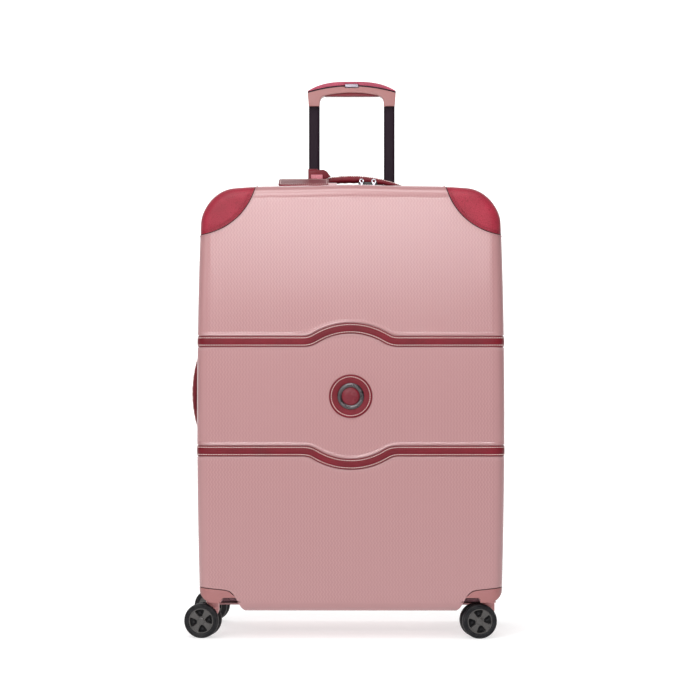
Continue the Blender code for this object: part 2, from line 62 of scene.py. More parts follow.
rear_low, rear_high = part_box("rear_shell")
middle_x = (rear_low.x + rear_high.x) / 2
shell_half_width = 0.2545
shell_foot_z, shell_top_z = 0.0440, 0.7475
shell_depth, rim_gap = 0.155, rear_low.y
shell_wall, shell_edge_radius, shell_draft = 0.0030, 0.020, 0.0020
foot_radius, top_radius = 0.026, 0.056
face_crown, panel_middle_z, panel_half_height = 0.0022, 0.40, 0.35
rib_pitch, rib_wave, rib_depth = 0.0050, 0.0080, 0.00006
strap_width, strap_offset, wall_x = 0.0175, 0.0896, 0.245
bow_radius, bow_fillet = 0.1114, 0.035
medallion_z = 0.3984
cap_centre, cap_radius = (0.2587, 0.768), 0.1066
leather_gap = 0.0012
outside, farther_out = 0.2, 0.3
pink = (0.430, 0.224, 0.228, 1)
halves = ((-1, "lid", "front", "lid"), (1, "back", "rear", "case"))
hands = ((-1, "left"), (1, "right"))


def add_mesh(name, points, faces, smooth=True):
    """A piece built in the case's own coordinates, with x = 0 at its middle."""
    mesh = bpy.data.meshes.new(name)
    mesh.from_pydata([tuple(p) for p in points], [], faces)
    mesh.validate()
    bm = bmesh.new()
    bm.from_mesh(mesh)
    bmesh.ops.recalc_face_normals(bm, faces=bm.faces)
    bm.to_mesh(mesh)
    bm.free()
    piece = bpy.data.objects.new(name, mesh)
    piece.location.x = middle_x
    bpy.context.scene.collection.objects.link(piece)
    if smooth:
        smooth_by_angle(piece)
    return piece


def smooth_by_angle(piece, degrees=35):
    """Rounded faces shade as one surface; folds sharper than this stay crisp."""
    piece.data.shade_smooth()
    piece.data.set_sharp_from_angle(angle=math.radians(degrees))


def apply_modifiers(piece):
    bpy.context.view_layer.update()
    graph = bpy.context.evaluated_depsgraph_get()
    mesh = bpy.data.meshes.new_from_object(piece.evaluated_get(graph))
    piece.modifiers.clear()
    piece.data = mesh
    return piece


def cut(piece, tool, operation="DIFFERENCE"):
    """Cuts, trims or joins a piece with a tool, which is used up."""
    step = piece.modifiers.new(operation, "BOOLEAN")
    step.operation, step.object = operation, tool
    apply_modifiers(piece)
    bpy.data.objects.remove(tool)
    return piece


def soften(piece, width, segments=3, degrees=40):
    """Breaks every sharp edge with a small round, as a mould or a file leaves it."""
    step = piece.modifiers.new("round", "BEVEL")
    step.width, step.segments, step.limit_method = width, segments, "ANGLE"
    step.angle_limit = math.radians(degrees)
    apply_modifiers(piece)
    smooth_by_angle(piece)
    return piece


def dress(piece, material, slot, body, *nodes):
    """Gives a finished piece its material and fixes it to the body whose CAD nodes it stands for."""
    piece.data.materials.clear()
    piece.data.materials.append(material)
    if nodes:
        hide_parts(*nodes)
    if body:
        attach(piece, body)
    return piece


def loft(name, rings, closed=False, smooth=True):
    """Skin over rings of equal length, capped at both ends or closed end to end."""
    count = len(rings[0])
    points = [p for ring in rings for p in ring]
    faces = []
    for r in range(len(rings) if closed else len(rings) - 1):
        here, there = r * count, (r + 1) % len(rings) * count
        for i in range(count):
            j = (i + 1) % count
            faces.append((here + i, here + j, there + j, there + i))
    if not closed:
        faces += [tuple(range(count)), tuple(range(len(points) - count, len(points)))]
    return add_mesh(name, points, faces, smooth)


def extrude(name, outline, low, high, axis="y", smooth=True):
    """An outline carried from low to high: (x, z) along y, (x, y) along z, (y, z) along x."""
    place = {"x": lambda a, b, t: (t, a, b), "y": lambda a, b, t: (a, t, b), "z": lambda a, b, t: (a, b, t)}
    return loft(name, [[place[axis](a, b, t) for a, b in outline] for t in (low, high)], smooth=smooth)


def arc(centre, radius, first, last, count):
    """Points round part of a circle, from the first angle to the last in degrees."""
    turns = [math.radians(first + (last - first) * i / count) for i in range(count + 1)]
    return [(centre[0] + radius * math.cos(t), centre[1] + radius * math.sin(t)) for t in turns]


def circle(centre, radius):
    """A closed round outline, fine enough for the corner caps."""
    return arc(centre, radius, 0, 357, 119)


def ease(t, low, high):
    """0 below low, 1 above high, smooth between."""
    t = min(max((t - low) / (high - low), 0), 1)
    return t * t * (3 - 2 * t)


def case_form(x, z):
    """Gives the straight box its barrel sides and lightly crowned top."""
    near_top = min(max((z - 0.57) / 0.15, 0), 1)
    spread = (x / 0.085) ** 2
    fall = 0.0034 * spread / (1 + spread) + 0.7 * max(abs(x) - 0.14, 0) ** 2
    return x - 0.054 * (z - 0.36) ** 2 * x / shell_half_width, z - fall * near_top


def panel_swell(x, z):
    """How far the flat panel crowns outwards at a point."""
    across, up = 1 - (x / shell_half_width) ** 2, 1 - ((z - panel_middle_z) / panel_half_height) ** 2
    return face_crown * max(across, 0) ** 0.8 * max(up, 0) ** 0.8


def strap_line(x, above, bowed, shift=0.0):
    """Height of a strap's middle line at x, or of a line shifted away from the medallion."""
    way = 1 if above else -1
    level = strap_offset + shift
    if not bowed:
        return medallion_z + way * level
    bow, fillet = bow_radius + shift, bow_fillet - shift
    reach = math.sqrt((bow + fillet) ** 2 - (level + fillet) ** 2)
    x = abs(x)
    if x >= reach:
        height = level
    elif x > reach * bow / (bow + fillet):
        height = level + fillet - math.sqrt(max(fillet**2 - (reach - x) ** 2, 0))
    else:
        height = math.sqrt(bow**2 - x * x)
    return medallion_z + way * height


def skin_profile(inset):
    """(inset, depth, how much it faces sideways, how much it faces out) from the rim to the panel's edge."""
    wall = [0.0, 0.0013, 0.0030, 0.0046, 0.0050, 0.020, 0.045, 0.075, 0.104, 0.124]
    profile = []
    for step in wall:
        depth = rim_gap + step
        profile.append((inset + shell_draft * depth / shell_depth, depth, 1.0, 0.0))
    for step in range(1, 11):
        turn = math.radians(9 * step)
        edge, sunk = shell_edge_radius - inset, face_crown * step / 10
        profile.append((inset + shell_draft + edge * (1 - math.cos(turn)),
                        shell_depth - shell_edge_radius + edge * math.sin(turn) - sunk,
                        math.cos(turn), math.sin(turn)))
    return profile


def skin_rows(bowed, channels):
    """The shell's horizontal mesh lines: (height at a given x, how deep the line is pressed in)."""
    half, lip = strap_width / 2 + leather_gap, 0.0016
    section = [(-half - 0.0060, 0), (-half - lip, 0), (-half - 0.0011, -0.0003), (-half - 0.0005, -0.0004),
               (-half - 0.0001, -0.0001), (-half, 0.0004), (-half + 0.0001, 0.0017)]
    section += [(0.0, 0.0017)] + [(-a, b) for a, b in reversed(section)]

    def strap_row(above, shift):
        return lambda x: strap_line(x, above, bowed, shift)

    def between(low, high, t):
        return lambda x: low(x) * (1 - t) + high(x) * t

    outer = half + 0.0060
    foot_row, head_row = (lambda x: 0.10), (lambda x: 0.656)
    rows = [(between(foot_row, strap_row(False, outer), t), 0.0) for t in (0, 0.16, 0.34, 0.52, 0.70, 0.86)]
    for above in (False, True):
        for shift, sunk in section if above else reversed(section):
            rows.append((strap_row(above, shift), sunk if channels else 0.0))
        if not above:
            low, high = strap_row(False, -outer), strap_row(True, -outer)
            rows += [(between(low, high, t), 0.0) for t in (0.14, 0.30, 0.43, 0.57, 0.70, 0.86)]
    rows += [(between(strap_row(True, outer), head_row, t), 0.0) for t in (0.14, 0.30, 0.48, 0.66, 0.83, 1)]
    return rows


def skin_columns():
    """Where the shell's upright mesh lines stand, closest where the straps bow."""
    half = [0.0, 0.02, 0.04, 0.06, 0.08, 0.10, 0.12, 0.14, 0.16, 0.18, 0.20, 0.22, 0.24, 0.26, 0.28,
            0.30, 0.32, 0.34, 0.36, 0.38, 0.41, 0.45, 0.50, 0.56, 0.62, 0.68, 0.74, 0.80, 0.86, 0.91,
            0.955, 0.985, 1.0]
    return [-c for c in reversed(half[1:])] + half


def half_skin(side, bowed, inset=0.0, channels=True):
    """Points and faces of one half's outer surface, open at the rim, with the rim's loop of points."""
    rows, columns, profile = skin_rows(bowed, channels), skin_columns(), skin_profile(inset)
    foot = arc((shell_half_width - foot_radius, shell_foot_z + foot_radius), foot_radius, -90, 0, 7)
    top = arc((shell_half_width - top_radius, shell_top_z - top_radius), top_radius, 0, 90, 14)
    edge_rows = [(a, b, math.sin(math.radians(90 * i / 7)), -math.cos(math.radians(90 * i / 7)), 0.0)
                 for i, (a, b) in enumerate(foot)]
    edge_rows += [(shell_half_width, None, 1.0, 0.0, sunk) for _, sunk in rows]
    edge_rows += [(a, b, math.cos(math.radians(90 * i / 14)), math.sin(math.radians(90 * i / 14)), 0.0)
                  for i, (a, b) in enumerate(top)]
    heights = [b for _, b in foot] + [line(wall_x) for line, _ in rows] + [b for _, b in top]

    def wall_point(anchor, facing, drawn, depth):
        x, z = case_form(anchor[0] - drawn * facing[0], anchor[1] - drawn * facing[1])
        return (x, side * depth, z)

    points, faces, grid = [], [], []
    face_inset, face_depth = profile[-1][:2]
    count_foot, count_rows = len(foot), len(rows)
    for j, (ax, az, nx, nz, sunk) in enumerate(edge_rows):
        anchor = (ax, heights[j] if az is None else az)
        end = wall_point(anchor, (nx, nz), face_inset, face_depth)
        line = []
        for c in columns:
            x = end[0] * c
            if count_foot <= j < count_foot + count_rows:
                z = rows[j - count_foot][0](x) if az is None else end[2]
            elif j < count_foot:
                low = shell_foot_z + face_inset
                t = (end[2] - low) / max(rows[0][0](x) - low, 1e-6)
                z = low + (rows[0][0](x) - low) * t
            else:
                high_line = case_form(x, shell_top_z - face_inset)[1]
                high_end = case_form(shell_half_width - top_radius, shell_top_z - face_inset)[1]
                low_line = rows[-1][0](x)
                t = (end[2] - low_line) / (high_end - low_line)
                z = low_line + (high_line - low_line) * t
            line.append(len(points))
            points.append((x, side * (face_depth + panel_swell(x, z) - sunk), z))
        grid.append(line)
    for j in range(len(grid) - 1):
        for i in range(len(columns) - 1):
            faces.append((grid[j][i], grid[j][i + 1], grid[j + 1][i + 1], grid[j + 1][i]))
    loop = [((shell_half_width - foot_radius) * c, shell_foot_z, 0.0, -1.0, 0.0) for c in columns[:-1]]
    border = list(grid[0][:-1])
    for j, row in enumerate(edge_rows[:-1]):
        loop.append((row[0], heights[j], row[2], row[3], row[4]))
        border.append(grid[j][-1])
    for c, index in zip(reversed(columns[1:]), reversed(grid[-1][1:])):
        loop.append(((shell_half_width - top_radius) * c, shell_top_z, 0.0, 1.0, 0.0))
        border.append(index)
    for j in range(len(edge_rows) - 1, 0, -1):
        row = edge_rows[j]
        loop.append((-row[0], heights[j], -row[2], row[3], row[4]))
        border.append(grid[j][0])
    previous = border
    for drawn, depth, sideways, out in reversed(profile[:-1]):
        ring = []
        for ax, az, nx, nz, sunk in loop:
            pressed = sunk if depth > rim_gap + 0.0048 else 0.0
            ring.append(len(points))
            points.append(wall_point((ax, az), (nx, nz), drawn + pressed * sideways, depth - pressed * out))
        for i in range(len(ring)):
            k = (i + 1) % len(ring)
            faces.append((previous[i], previous[k], ring[k], ring[i]))
        previous = ring
    return points, faces, previous


def half_plug(name, side, bowed, inset):
    """The solid form of one half with its surface drawn in by inset, to cut with."""
    points, faces, rim = half_skin(side, bowed, inset, channels=False)
    faces.append(tuple(rim))
    return add_mesh(name, points, faces)


def half_shell(name, side, bowed):
    """One moulded tray: outer skin, rolled rim and inner skin, with its pockets for the corner caps."""
    outer, outer_faces, outer_rim = half_skin(side, bowed)
    inner, inner_faces, inner_rim = half_skin(side, bowed, shell_wall, channels=False)
    shift = len(outer)
    points = outer + inner
    faces = outer_faces + [tuple(i + shift for i in f) for f in inner_faces]
    inner_rim = [i + shift for i in inner_rim]
    for i in range(len(outer_rim)):
        k = (i + 1) % len(outer_rim)
        faces.append((outer_rim[i], outer_rim[k], inner_rim[k], inner_rim[i]))
    shell = add_mesh(name, points, faces)
    for hand in (-1, 1):
        centre = (hand * cap_centre[0], cap_centre[1])
        disc = extrude("pocket", circle(centre, cap_radius), side * (rim_gap + 0.004), side * outside)
        cut(disc, half_plug("pocket_floor", side, False, 0.0020))
        cut(shell, disc)
    return shell


def wire(tree, kind, inputs=None, **settings):
    """Adds a node, with its inputs either set or linked."""
    node = tree.nodes.new("ShaderNode" + kind)
    for key, value in settings.items():
        setattr(node, key, value)
    for key, value in (inputs or {}).items():
        if isinstance(value, bpy.types.NodeSocket):
            tree.links.new(value, node.inputs[key])
        else:
            node.inputs[key].default_value = value
    return node


def calc(tree, operation, *values):
    return wire(tree, "Math", dict(enumerate(values)), operation=operation).outputs[0]


def new_finish(name, base, roughness, metallic=0.0, **sockets):
    """A material with these plain values, its tree and its shader."""
    material = bpy.data.materials.new(name)
    material.use_nodes = True
    tree = material.node_tree
    shader = tree.nodes["Principled BSDF"]
    shader.inputs["Base Color"].default_value = base
    shader.inputs["Roughness"].default_value = roughness
    shader.inputs["Metallic"].default_value = metallic
    for key, value in sockets.items():
        shader.inputs[key.replace("_", " ")].default_value = value
    return material, tree, shader


def tint(tree, factor, dark, light):
    """A colour between dark and light."""
    return wire(tree, "Mix", {0: factor, 6: dark, 7: light}, data_type="RGBA").outputs[2]


def shade(colour, factor):
    return (*[c * factor for c in colour[:3]], 1)


def relief(tree, shader, height, strength, distance):
    bump = wire(tree, "Bump", {"Height": height, "Strength": strength, "Distance": distance})
    tree.links.new(bump.outputs[0], shader.inputs["Normal"])


def mottle(tree, where, scale, detail=2.0):
    """Soft random marks, from 0 to 1."""
    return wire(tree, "TexNoise", {"Vector": where, "Scale": scale, "Detail": detail}).outputs[0]


def paint(tree, shader, colour):
    tree.links.new(colour, shader.inputs["Base Color"])


def uneven_shine(tree, shader, marks, low, high):
    """Roughness that follows the marks from low to high."""
    rough = wire(tree, "MapRange", {0: marks, 3: low, 4: high}).outputs[0]
    tree.links.new(rough, shader.inputs["Roughness"])


def moulded_weave():
    """Pink polycarbonate: a fine woven relief on the walls, smooth rounded edges, a satin shine. The ribs'
    light and dark stripes in the colour are painted shade of the relief.
    """
    material, tree, shader = new_finish("pink_polycarbonate", pink, 0.20, Specular_IOR_Level=0.60)
    where = wire(tree, "TexCoord").outputs["Object"]
    x, y, z = wire(tree, "SeparateXYZ", {0: where}).outputs
    facing = wire(tree, "SeparateXYZ", {0: wire(tree, "TexCoord").outputs["Normal"]}).outputs
    on_side = calc(tree, "GREATER_THAN", calc(tree, "ABSOLUTE", facing[0]), 0.7)
    on_top = calc(tree, "GREATER_THAN", calc(tree, "ABSOLUTE", facing[2]), 0.7)
    across = wire(tree, "Mix", {0: on_side, 2: x, 3: y}).outputs[0]
    upward = wire(tree, "Mix", {0: on_top, 2: z, 3: y}).outputs[0]
    wave = calc(tree, "SINE", calc(tree, "MULTIPLY", upward, 2 * math.pi / rib_wave))
    sway = calc(tree, "MULTIPLY", wave, 1.5)
    rib = calc(tree, "SINE", calc(tree, "MULTIPLY_ADD", across, 2 * math.pi / rib_pitch, sway))
    broad = mottle(tree, where, 900.0, 1.0)
    flat = calc(tree, "MAXIMUM", calc(tree, "MAXIMUM", calc(tree, "ABSOLUTE", facing[0]),
                                      calc(tree, "ABSOLUTE", facing[1])), calc(tree, "ABSOLUTE", facing[2]))
    mask = wire(tree, "MapRange", {0: flat, 1: 0.955, 2: 0.995, 3: 0.0, 4: 1.0}).outputs[0]
    height = calc(tree, "ADD", calc(tree, "MULTIPLY", rib, mask), calc(tree, "MULTIPLY", broad, 0.10))
    relief(tree, shader, height, 0.9, rib_depth)
    cloud = mottle(tree, where, 5.0, 3.0)
    # The rib stripes lighten and darken the pink: painted shade standing in for the relief's own shading.
    thread = calc(tree, "MULTIPLY_ADD", calc(tree, "MULTIPLY", rib, mask), 0.30, 0.5)
    rib_painted_shade = tint(tree, thread, shade(pink, 0.76), shade(pink, 1.14))
    paint(tree, shader, tint(tree, cloud, rib_painted_shade, shade(pink, 0.97)))
    uneven_shine(tree, shader, cloud, 0.18, 0.22)
    return material


def mirrored(outline, hand):
    return [(-hand * x, z) for x, z in outline]


def notch_outline(grow=0.0):
    """The left bottom corner that makes room for a castor's housing, larger by grow."""
    bend = [(-0.300, 0.0880 + grow), (-0.2484, 0.0855 + grow), (-0.2050, 0.0809 + grow)]
    bend += [(-0.1985 + 0.4 * grow, 0.0790 + 0.9 * grow), (-0.1930 + 0.8 * grow, 0.0742 + 0.6 * grow)]
    bend += [(-0.1882 + grow, 0.0670 + 0.4 * grow), (-0.1835 + grow, 0.0580), (-0.1795 + grow, 0.0514)]
    bend += [(-0.1745 + grow, 0.0465), (-0.1690 + grow, 0.0436), (-0.1650 + grow, 0.0300)]
    return bend + [(-0.300, 0.0300)]


def cut_wheel_notches(shell, side, grow=0.0):
    for hand in (-1, 1):
        cut(shell, extrude("notch", mirrored(notch_outline(grow), hand), side * (0.0300 - grow),
                           side * outside))
    return shell


pink_polycarbonate = moulded_weave()
lid_shell = cut_wheel_notches(half_shell("lid_shell", -1, True), -1, 0.0005)
back_shell = cut_wheel_notches(half_shell("back_shell", 1, False), 1, 0.0005)
bezel_low, bezel_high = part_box("trolley_bezel")
bezel_y = (bezel_low.y + bezel_high.y) / 2


def rounded(width, depth, radius, centre=(0, 0), steps=6):
    """A rectangle with round corners."""
    points = []
    for i, (sx, sy) in enumerate(((1, 1), (-1, 1), (-1, -1), (1, -1))):
        corner = (centre[0] + sx * (width / 2 - radius), centre[1] + sy * (depth / 2 - radius))
        points += arc(corner, radius, 90 * i, 90 * i + 90, steps)
    return points


cut(back_shell, extrude("handle_opening", rounded(0.1775, 0.0415, 0.008, (0, bezel_y)), 0.70, 0.80, "z"))
for shell in (lid_shell, back_shell):
    smooth_by_angle(shell)
dress(lid_shell, pink_polycarbonate, "shell_pink", "lid", "front_shell")
dress(back_shell, pink_polycarbonate, "shell_pink", "case", "rear_shell")

for side, half, end, body in halves:
    for hand, word in hands:
        centre = (hand * cap_centre[0], cap_centre[1])
        start = side * (rim_gap + 0.0032)
        lip = extrude(f"{half}_{word}_cap_lip", circle(centre, cap_radius + 0.0019), start, side * outside)
        cut(lip, extrude("inside", circle(centre, cap_radius + 0.0001), 0, side * farther_out))
        cut(lip, half_plug("swell", side, False, -0.0009), "INTERSECT")
        cut(lip, half_plug("skin", side, False, 0.0012))
        soften(lip, 0.0007, 3)
        dress(lip, pink_polycarbonate, "shell_pink", body)

# ---- Linings ----
# Thin quilted polyester glued inside each tray. The rear one is boxed in over the telescopic handle's tubes.

tunnel_x, tunnel_y = 0.0985, 0.0885
lining_rose = (0.33, 0.17, 0.20, 1)


def lining_twill():
    """Fine twill with a quilted diamond pattern pressed into its foam backing; the pressed creases are
    darkened with painted shade.
    """
    material, tree, shader = new_finish("lining_twill", lining_rose, 0.75, Sheen_Weight=0.35)
    where = wire(tree, "TexCoord").outputs["Object"]
    x, y, z = wire(tree, "SeparateXYZ", {0: where}).outputs
    across = calc(tree, "ADD", x, calc(tree, "MULTIPLY", y, 0.6))
    rise = calc(tree, "ADD", across, z)
    fall = calc(tree, "SUBTRACT", across, z)
    twill = calc(tree, "SINE", calc(tree, "MULTIPLY", rise, 2 * math.pi / 0.0012))
    quilt = [calc(tree, "ABSOLUTE", calc(tree, "SINE", calc(tree, "MULTIPLY", d, math.pi / 0.042)))
             for d in (rise, fall)]
    pad = calc(tree, "POWER", calc(tree, "MINIMUM", *quilt), 0.4)
    colour = tint(tree, calc(tree, "MULTIPLY_ADD", twill, 0.3, 0.5), shade(lining_rose, 0.75),
                  shade(lining_rose, 1.15))
    # Darker colour along the quilt's pressed creases: painted shade.
    quilt_crease_shade = wire(tree, "MapRange", {0: calc(tree, "MINIMUM", *quilt), 1: 0.0, 2: 0.07}).outputs[0]
    paint(tree, shader, tint(tree, quilt_crease_shade, shade(lining_rose, 0.45), colour))
    relief(tree, shader, calc(tree, "MULTIPLY_ADD", twill, 0.04, pad), 0.8, 0.0015)
    return material


lining_cloth = lining_twill()
for side, half, end, body in halves:
    lining = cut_wheel_notches(half_plug(f"{half}_lining", side, False, 0.0049), side, 0.0059)
    hollow = cut_wheel_notches(half_plug("hollow", side, False, 0.0062), side, 0.0072)
    hollow.location.y -= side * 0.0004
    if side == 1:
        for solid, skin in ((hollow, 0.0), (lining, 0.0012)):
            reach, start = tunnel_x - skin, tunnel_y + skin
            cut(solid, extrude("tunnel", [(-reach, start), (reach, start), (reach, 0.2), (-reach, 0.2)],
                               0, 1, "z", False))
    cut(lining, hollow)
    smooth_by_angle(lining)
    dress(lining, lining_cloth, "lining", body, f"{end}_lining")

# ---- Zip tapes ----
# Two woven tapes glued inside the shells' rims, each carrying half of a moulded tooth chain that runs round
# the case.

tooth_pitch, tooth_half = 0.0026, 0.0009
zip_plum = (0.055, 0.022, 0.030, 1)


def case_outline(inset, steps=12):
    """The rim's line, drawn in by inset: (x, z) going round from the bottom left."""
    foot, top = max(foot_radius - inset, 0.003), max(top_radius - inset, 0.003)
    half, low, high = shell_half_width - inset, shell_foot_z + inset, shell_top_z - inset
    line = arc((half - foot, low + foot), foot, -90, 0, steps)
    line += [(half, low + foot + (high - top - low - foot) * i / 24) for i in range(1, 24)]
    line += arc((half - top, high - top), top, 0, 90, steps)
    across = [(half - top) * (1 - i / 12) for i in range(1, 13)]
    right = line + [(x, high) for x in across]
    left = [(-x, z) for x, z in reversed(right[:-1])]
    bottom = [(-(half - foot) + 2 * (half - foot) * i / 12, low) for i in range(1, 12)]
    return [case_form(x, z) for x, z in right + left + bottom]


def walk(points, pitch, closed=False):
    """Evenly spaced places along a line: (point, direction)."""
    points = [Vector(p) for p in points] + ([Vector(points[0])] if closed else [])
    lengths = [(b - a).length for a, b in zip(points, points[1:])]
    count = max(int(sum(lengths) / pitch), 1)
    step, stops, i, passed = sum(lengths) / count, [], 0, 0.0
    for n in range(count):
        aim = (n + 0.5) * step
        while passed + lengths[i] < aim:
            passed += lengths[i]
            i += 1
        way = (points[i + 1] - points[i]).normalized()
        stops.append((points[i] + way * (aim - passed), way))
    return stops


def scatter(name, unit, places):
    """Many copies of one small shape in one piece: unit is (points, faces), places are 4 x 4 matrices."""
    points, faces = [], []
    for place in places:
        shift = len(points)
        points += [place @ Vector(p) for p in unit[0]]
        faces += [tuple(i + shift for i in f) for f in unit[1]]
    return add_mesh(name, points, faces)


def facing_frame(point, along, out):
    """A matrix whose x runs along and whose z faces out."""
    along = Vector(along).normalized()
    side_way = Vector(out).cross(along).normalized()
    out = along.cross(side_way)
    return Matrix.Translation(point) @ Matrix((along, side_way, out)).transposed().to_4x4()


def woven_tape():
    """Herringbone polyester tape."""
    material, tree, shader = new_finish("woven_tape", zip_plum, 0.8, Sheen_Weight=0.3)
    where = wire(tree, "TexCoord").outputs["Object"]
    x, y, z = wire(tree, "SeparateXYZ", {0: where}).outputs
    chevron = calc(tree, "ABSOLUTE", calc(tree, "SINE", calc(tree, "MULTIPLY", y, math.pi / 0.0022)))
    run = calc(tree, "ADD", calc(tree, "ADD", x, z), calc(tree, "MULTIPLY", chevron, 0.0010))
    thread = calc(tree, "SINE", calc(tree, "MULTIPLY", run, 2 * math.pi / 0.0011))
    colour = tint(tree, calc(tree, "MULTIPLY_ADD", thread, 0.4, 0.5), shade(zip_plum, 0.6),
                  shade(zip_plum, 1.6))
    paint(tree, shader, colour)
    relief(tree, shader, thread, 0.7, 0.0003)
    return material


def moulded_teeth():
    material, tree, shader = new_finish("zip_teeth", (0.10, 0.03, 0.045, 1), 0.38)
    uneven_shine(tree, shader, mottle(tree, wire(tree, "TexCoord").outputs["Object"], 400.0), 0.30, 0.48)
    return material


tape_cloth, tooth_plastic = woven_tape(), moulded_teeth()
for side, half, end, body in halves:
    section = [(0.0030, 0.0002), (0.0026, 0.0010), (0.0029, 0.0035), (0.0034, 0.0050), (0.0034, 0.0190),
               (0.0044, 0.0190), (0.0044, 0.0002)]
    rings = [[(x, side * depth, z) for x, z in case_outline(inset)] for inset, depth in section]
    tape = loft(f"{half}_zip_tape", rings, closed=True)
    dress(tape, tape_cloth, "zip_cloth", body, f"{end}_zip_tape")
    line = [(x, side * 0.0011, z) for x, z in case_outline(0.0024)]
    places = [facing_frame(p, way, way.cross(Vector((0, side, 0))))
              for p, way in walk(line, tooth_pitch, True)]
    reach = [(0.0019, 0.5), (0.0006, 1.0), (-0.0010, 0.75)]
    points = [p for y, s in reach for p in ((-tooth_half * s, y, -0.0009), (tooth_half * s, y, -0.0009),
                                            (tooth_half * s, y, 0.0007 * s),
                                            (-tooth_half * s, y, 0.0007 * s))]
    faces = [(0, 1, 2, 3), (8, 9, 10, 11)]
    faces += [(r + i, r + (i + 1) % 4, r + 4 + (i + 1) % 4, r + 4 + i) for r in (0, 4) for i in range(4)]
    teeth = scatter(f"{half}_zip_teeth", (points, faces), places)
    dress(teeth, tooth_plastic, "zip_cloth", body)

# ---- Cloth hinge ----
# A strip of the tape cloth stitched to both linings inside the right-hand rim. It joins the halves and keeps
# the lid from falling away when the case lies open.

hinge_low, hinge_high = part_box("hinge_gusset")


def hinge_strip():
    strip_x, reach, rows, columns = 0.0075, 0.034, 30, 24
    points = []
    for i in range(rows + 1):
        z = hinge_low.z + (hinge_high.z - hinge_low.z) * i / rows
        for j in range(columns + 1):
            y = reach * (1 - 2 * j / columns)
            tuck = 0.0024 * math.exp(-((y / 0.006) ** 2))
            x = case_form(shell_half_width - strip_x, z)[0] - tuck
            points.append((x + 0.0006 * math.sin(z * 90 + y * 40), y, z))
    width = columns + 1
    faces = [(i * width + j, i * width + j + 1, (i + 1) * width + j + 1, (i + 1) * width + j)
             for i in range(rows) for j in range(columns)]
    strip = add_mesh("hinge_cloth", points, faces)
    step = strip.modifiers.new("cloth", "SOLIDIFY")
    step.thickness, step.offset = 0.0008, 0
    return apply_modifiers(strip)


hinge_cloth = hinge_strip()
smooth_by_angle(hinge_cloth, 60)
hinge_cloth.data.materials.clear()
hinge_cloth.data.materials.append(tape_cloth)
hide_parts("hinge_gusset")
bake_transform(hinge_cloth)

# ---- Leather straps and corner caps ----
# Dark red split leather with a pressed grain. Straps lie in the shells' channels, lock-stitched along both
# edges. Caps are wet-formed over the top corners, with two tooled lines, and a near-black ring in the gap
# along their curve paints the gap's shade.

# The caps' red is lighter than the straps' red for the same leather: painted sheen on the caps.
strap_red, cap_red_painted_sheen = (0.165, 0.0045, 0.0135, 1), (0.330, 0.022, 0.044, 1)
thread_pink = (0.95, 0.72, 0.68, 1)
stitch_pitch, stitch_length, stitch_radius = 0.0041, 0.0029, 0.00062
stitch_line = strap_width / 2 - 0.0028


def grained_leather(name, base, roughness=0.42):
    """Leather with a pebbled grain, pores and a slightly worn, uneven dye; the grain's creases are darkened
    with painted shade.
    """
    material, tree, shader = new_finish(name, base, roughness, Specular_IOR_Level=0.28)
    where = wire(tree, "TexCoord").outputs["Object"]
    pebble = wire(tree, "TexVoronoi", {"Vector": where, "Scale": 850.0}, feature="SMOOTH_F1").outputs[0]
    crease = wire(tree, "TexVoronoi", {"Vector": where, "Scale": 420.0},
                  feature="DISTANCE_TO_EDGE").outputs[0]
    cloud = mottle(tree, where, 22.0, 4.0)
    line = wire(tree, "MapRange", {0: crease, 1: 0.0, 2: 0.12}).outputs[0]
    dye = wire(tree, "MapRange", {0: cloud, 1: 0.3, 2: 0.7}).outputs[0]
    colour = tint(tree, dye, shade(base, 0.78), shade(base, 1.22))
    # The grain's creases are painted darker: painted shade in the recesses.
    paint(tree, shader, tint(tree, line, shade(base, 0.62), colour))
    uneven_shine(tree, shader, cloud, roughness - 0.06, roughness + 0.08)
    relief(tree, shader, calc(tree, "SUBTRACT", calc(tree, "MULTIPLY", line, 0.6), pebble), 0.35, 0.0004)
    return material


def waxed_thread():
    material, tree, shader = new_finish("waxed_thread", thread_pink, 0.55, Sheen_Weight=0.2)
    x, y, z = wire(tree, "SeparateXYZ", {0: wire(tree, "TexCoord").outputs["Object"]}).outputs
    twist = calc(tree, "SINE", calc(tree, "MULTIPLY", calc(tree, "ADD", calc(tree, "ADD", x, y), z),
                                    14000.0))
    colour = tint(tree, calc(tree, "MULTIPLY_ADD", twist, 0.25, 0.6), shade(thread_pink, 0.7), thread_pink)
    paint(tree, shader, colour)
    return material


red_leather = grained_leather("strap_leather", strap_red)
leather_painted_sheen = grained_leather("leather_painted_sheen", cap_red_painted_sheen)
cap_gap_shade, thread = grained_leather("cap_gap_painted_shade", (0.050, 0.003, 0.008, 1)), waxed_thread()


def stitch_shape(length, radius):
    """One stitch: a small capsule of thread lying along x."""
    rings = [(-0.5, 0.35), (-0.36, 0.85), (0.0, 1.0), (0.36, 0.85), (0.5, 0.35)]
    points = [(length * t, radius * s * math.cos(math.radians(60 * k)),
               radius * s * math.sin(math.radians(60 * k))) for t, s in rings for k in range(6)]
    faces = [tuple(range(6)), tuple(range(24, 30))]
    faces += [(r + k, r + (k + 1) % 6, r + 6 + (k + 1) % 6, r + 6 + k) for r in (0, 6, 12, 18)
              for k in range(6)]
    return points, faces


def sew(name, lines, body, pitch=None, length=None, radius=None):
    """Rows of stitches: each line is a list of (point, outward direction)."""
    pitch, length, radius = pitch or stitch_pitch, length or stitch_length, radius or stitch_radius
    places = []
    for line in lines:
        spots = [Vector(p) for p, _ in line]
        for point, way in walk(spots, pitch):
            nearest = min(range(len(spots)), key=lambda i: (spots[i] - point).length)
            places.append(facing_frame(point, way, line[nearest][1]))
    return dress(scatter(name, stitch_shape(length, radius), places), thread, "leather", body)


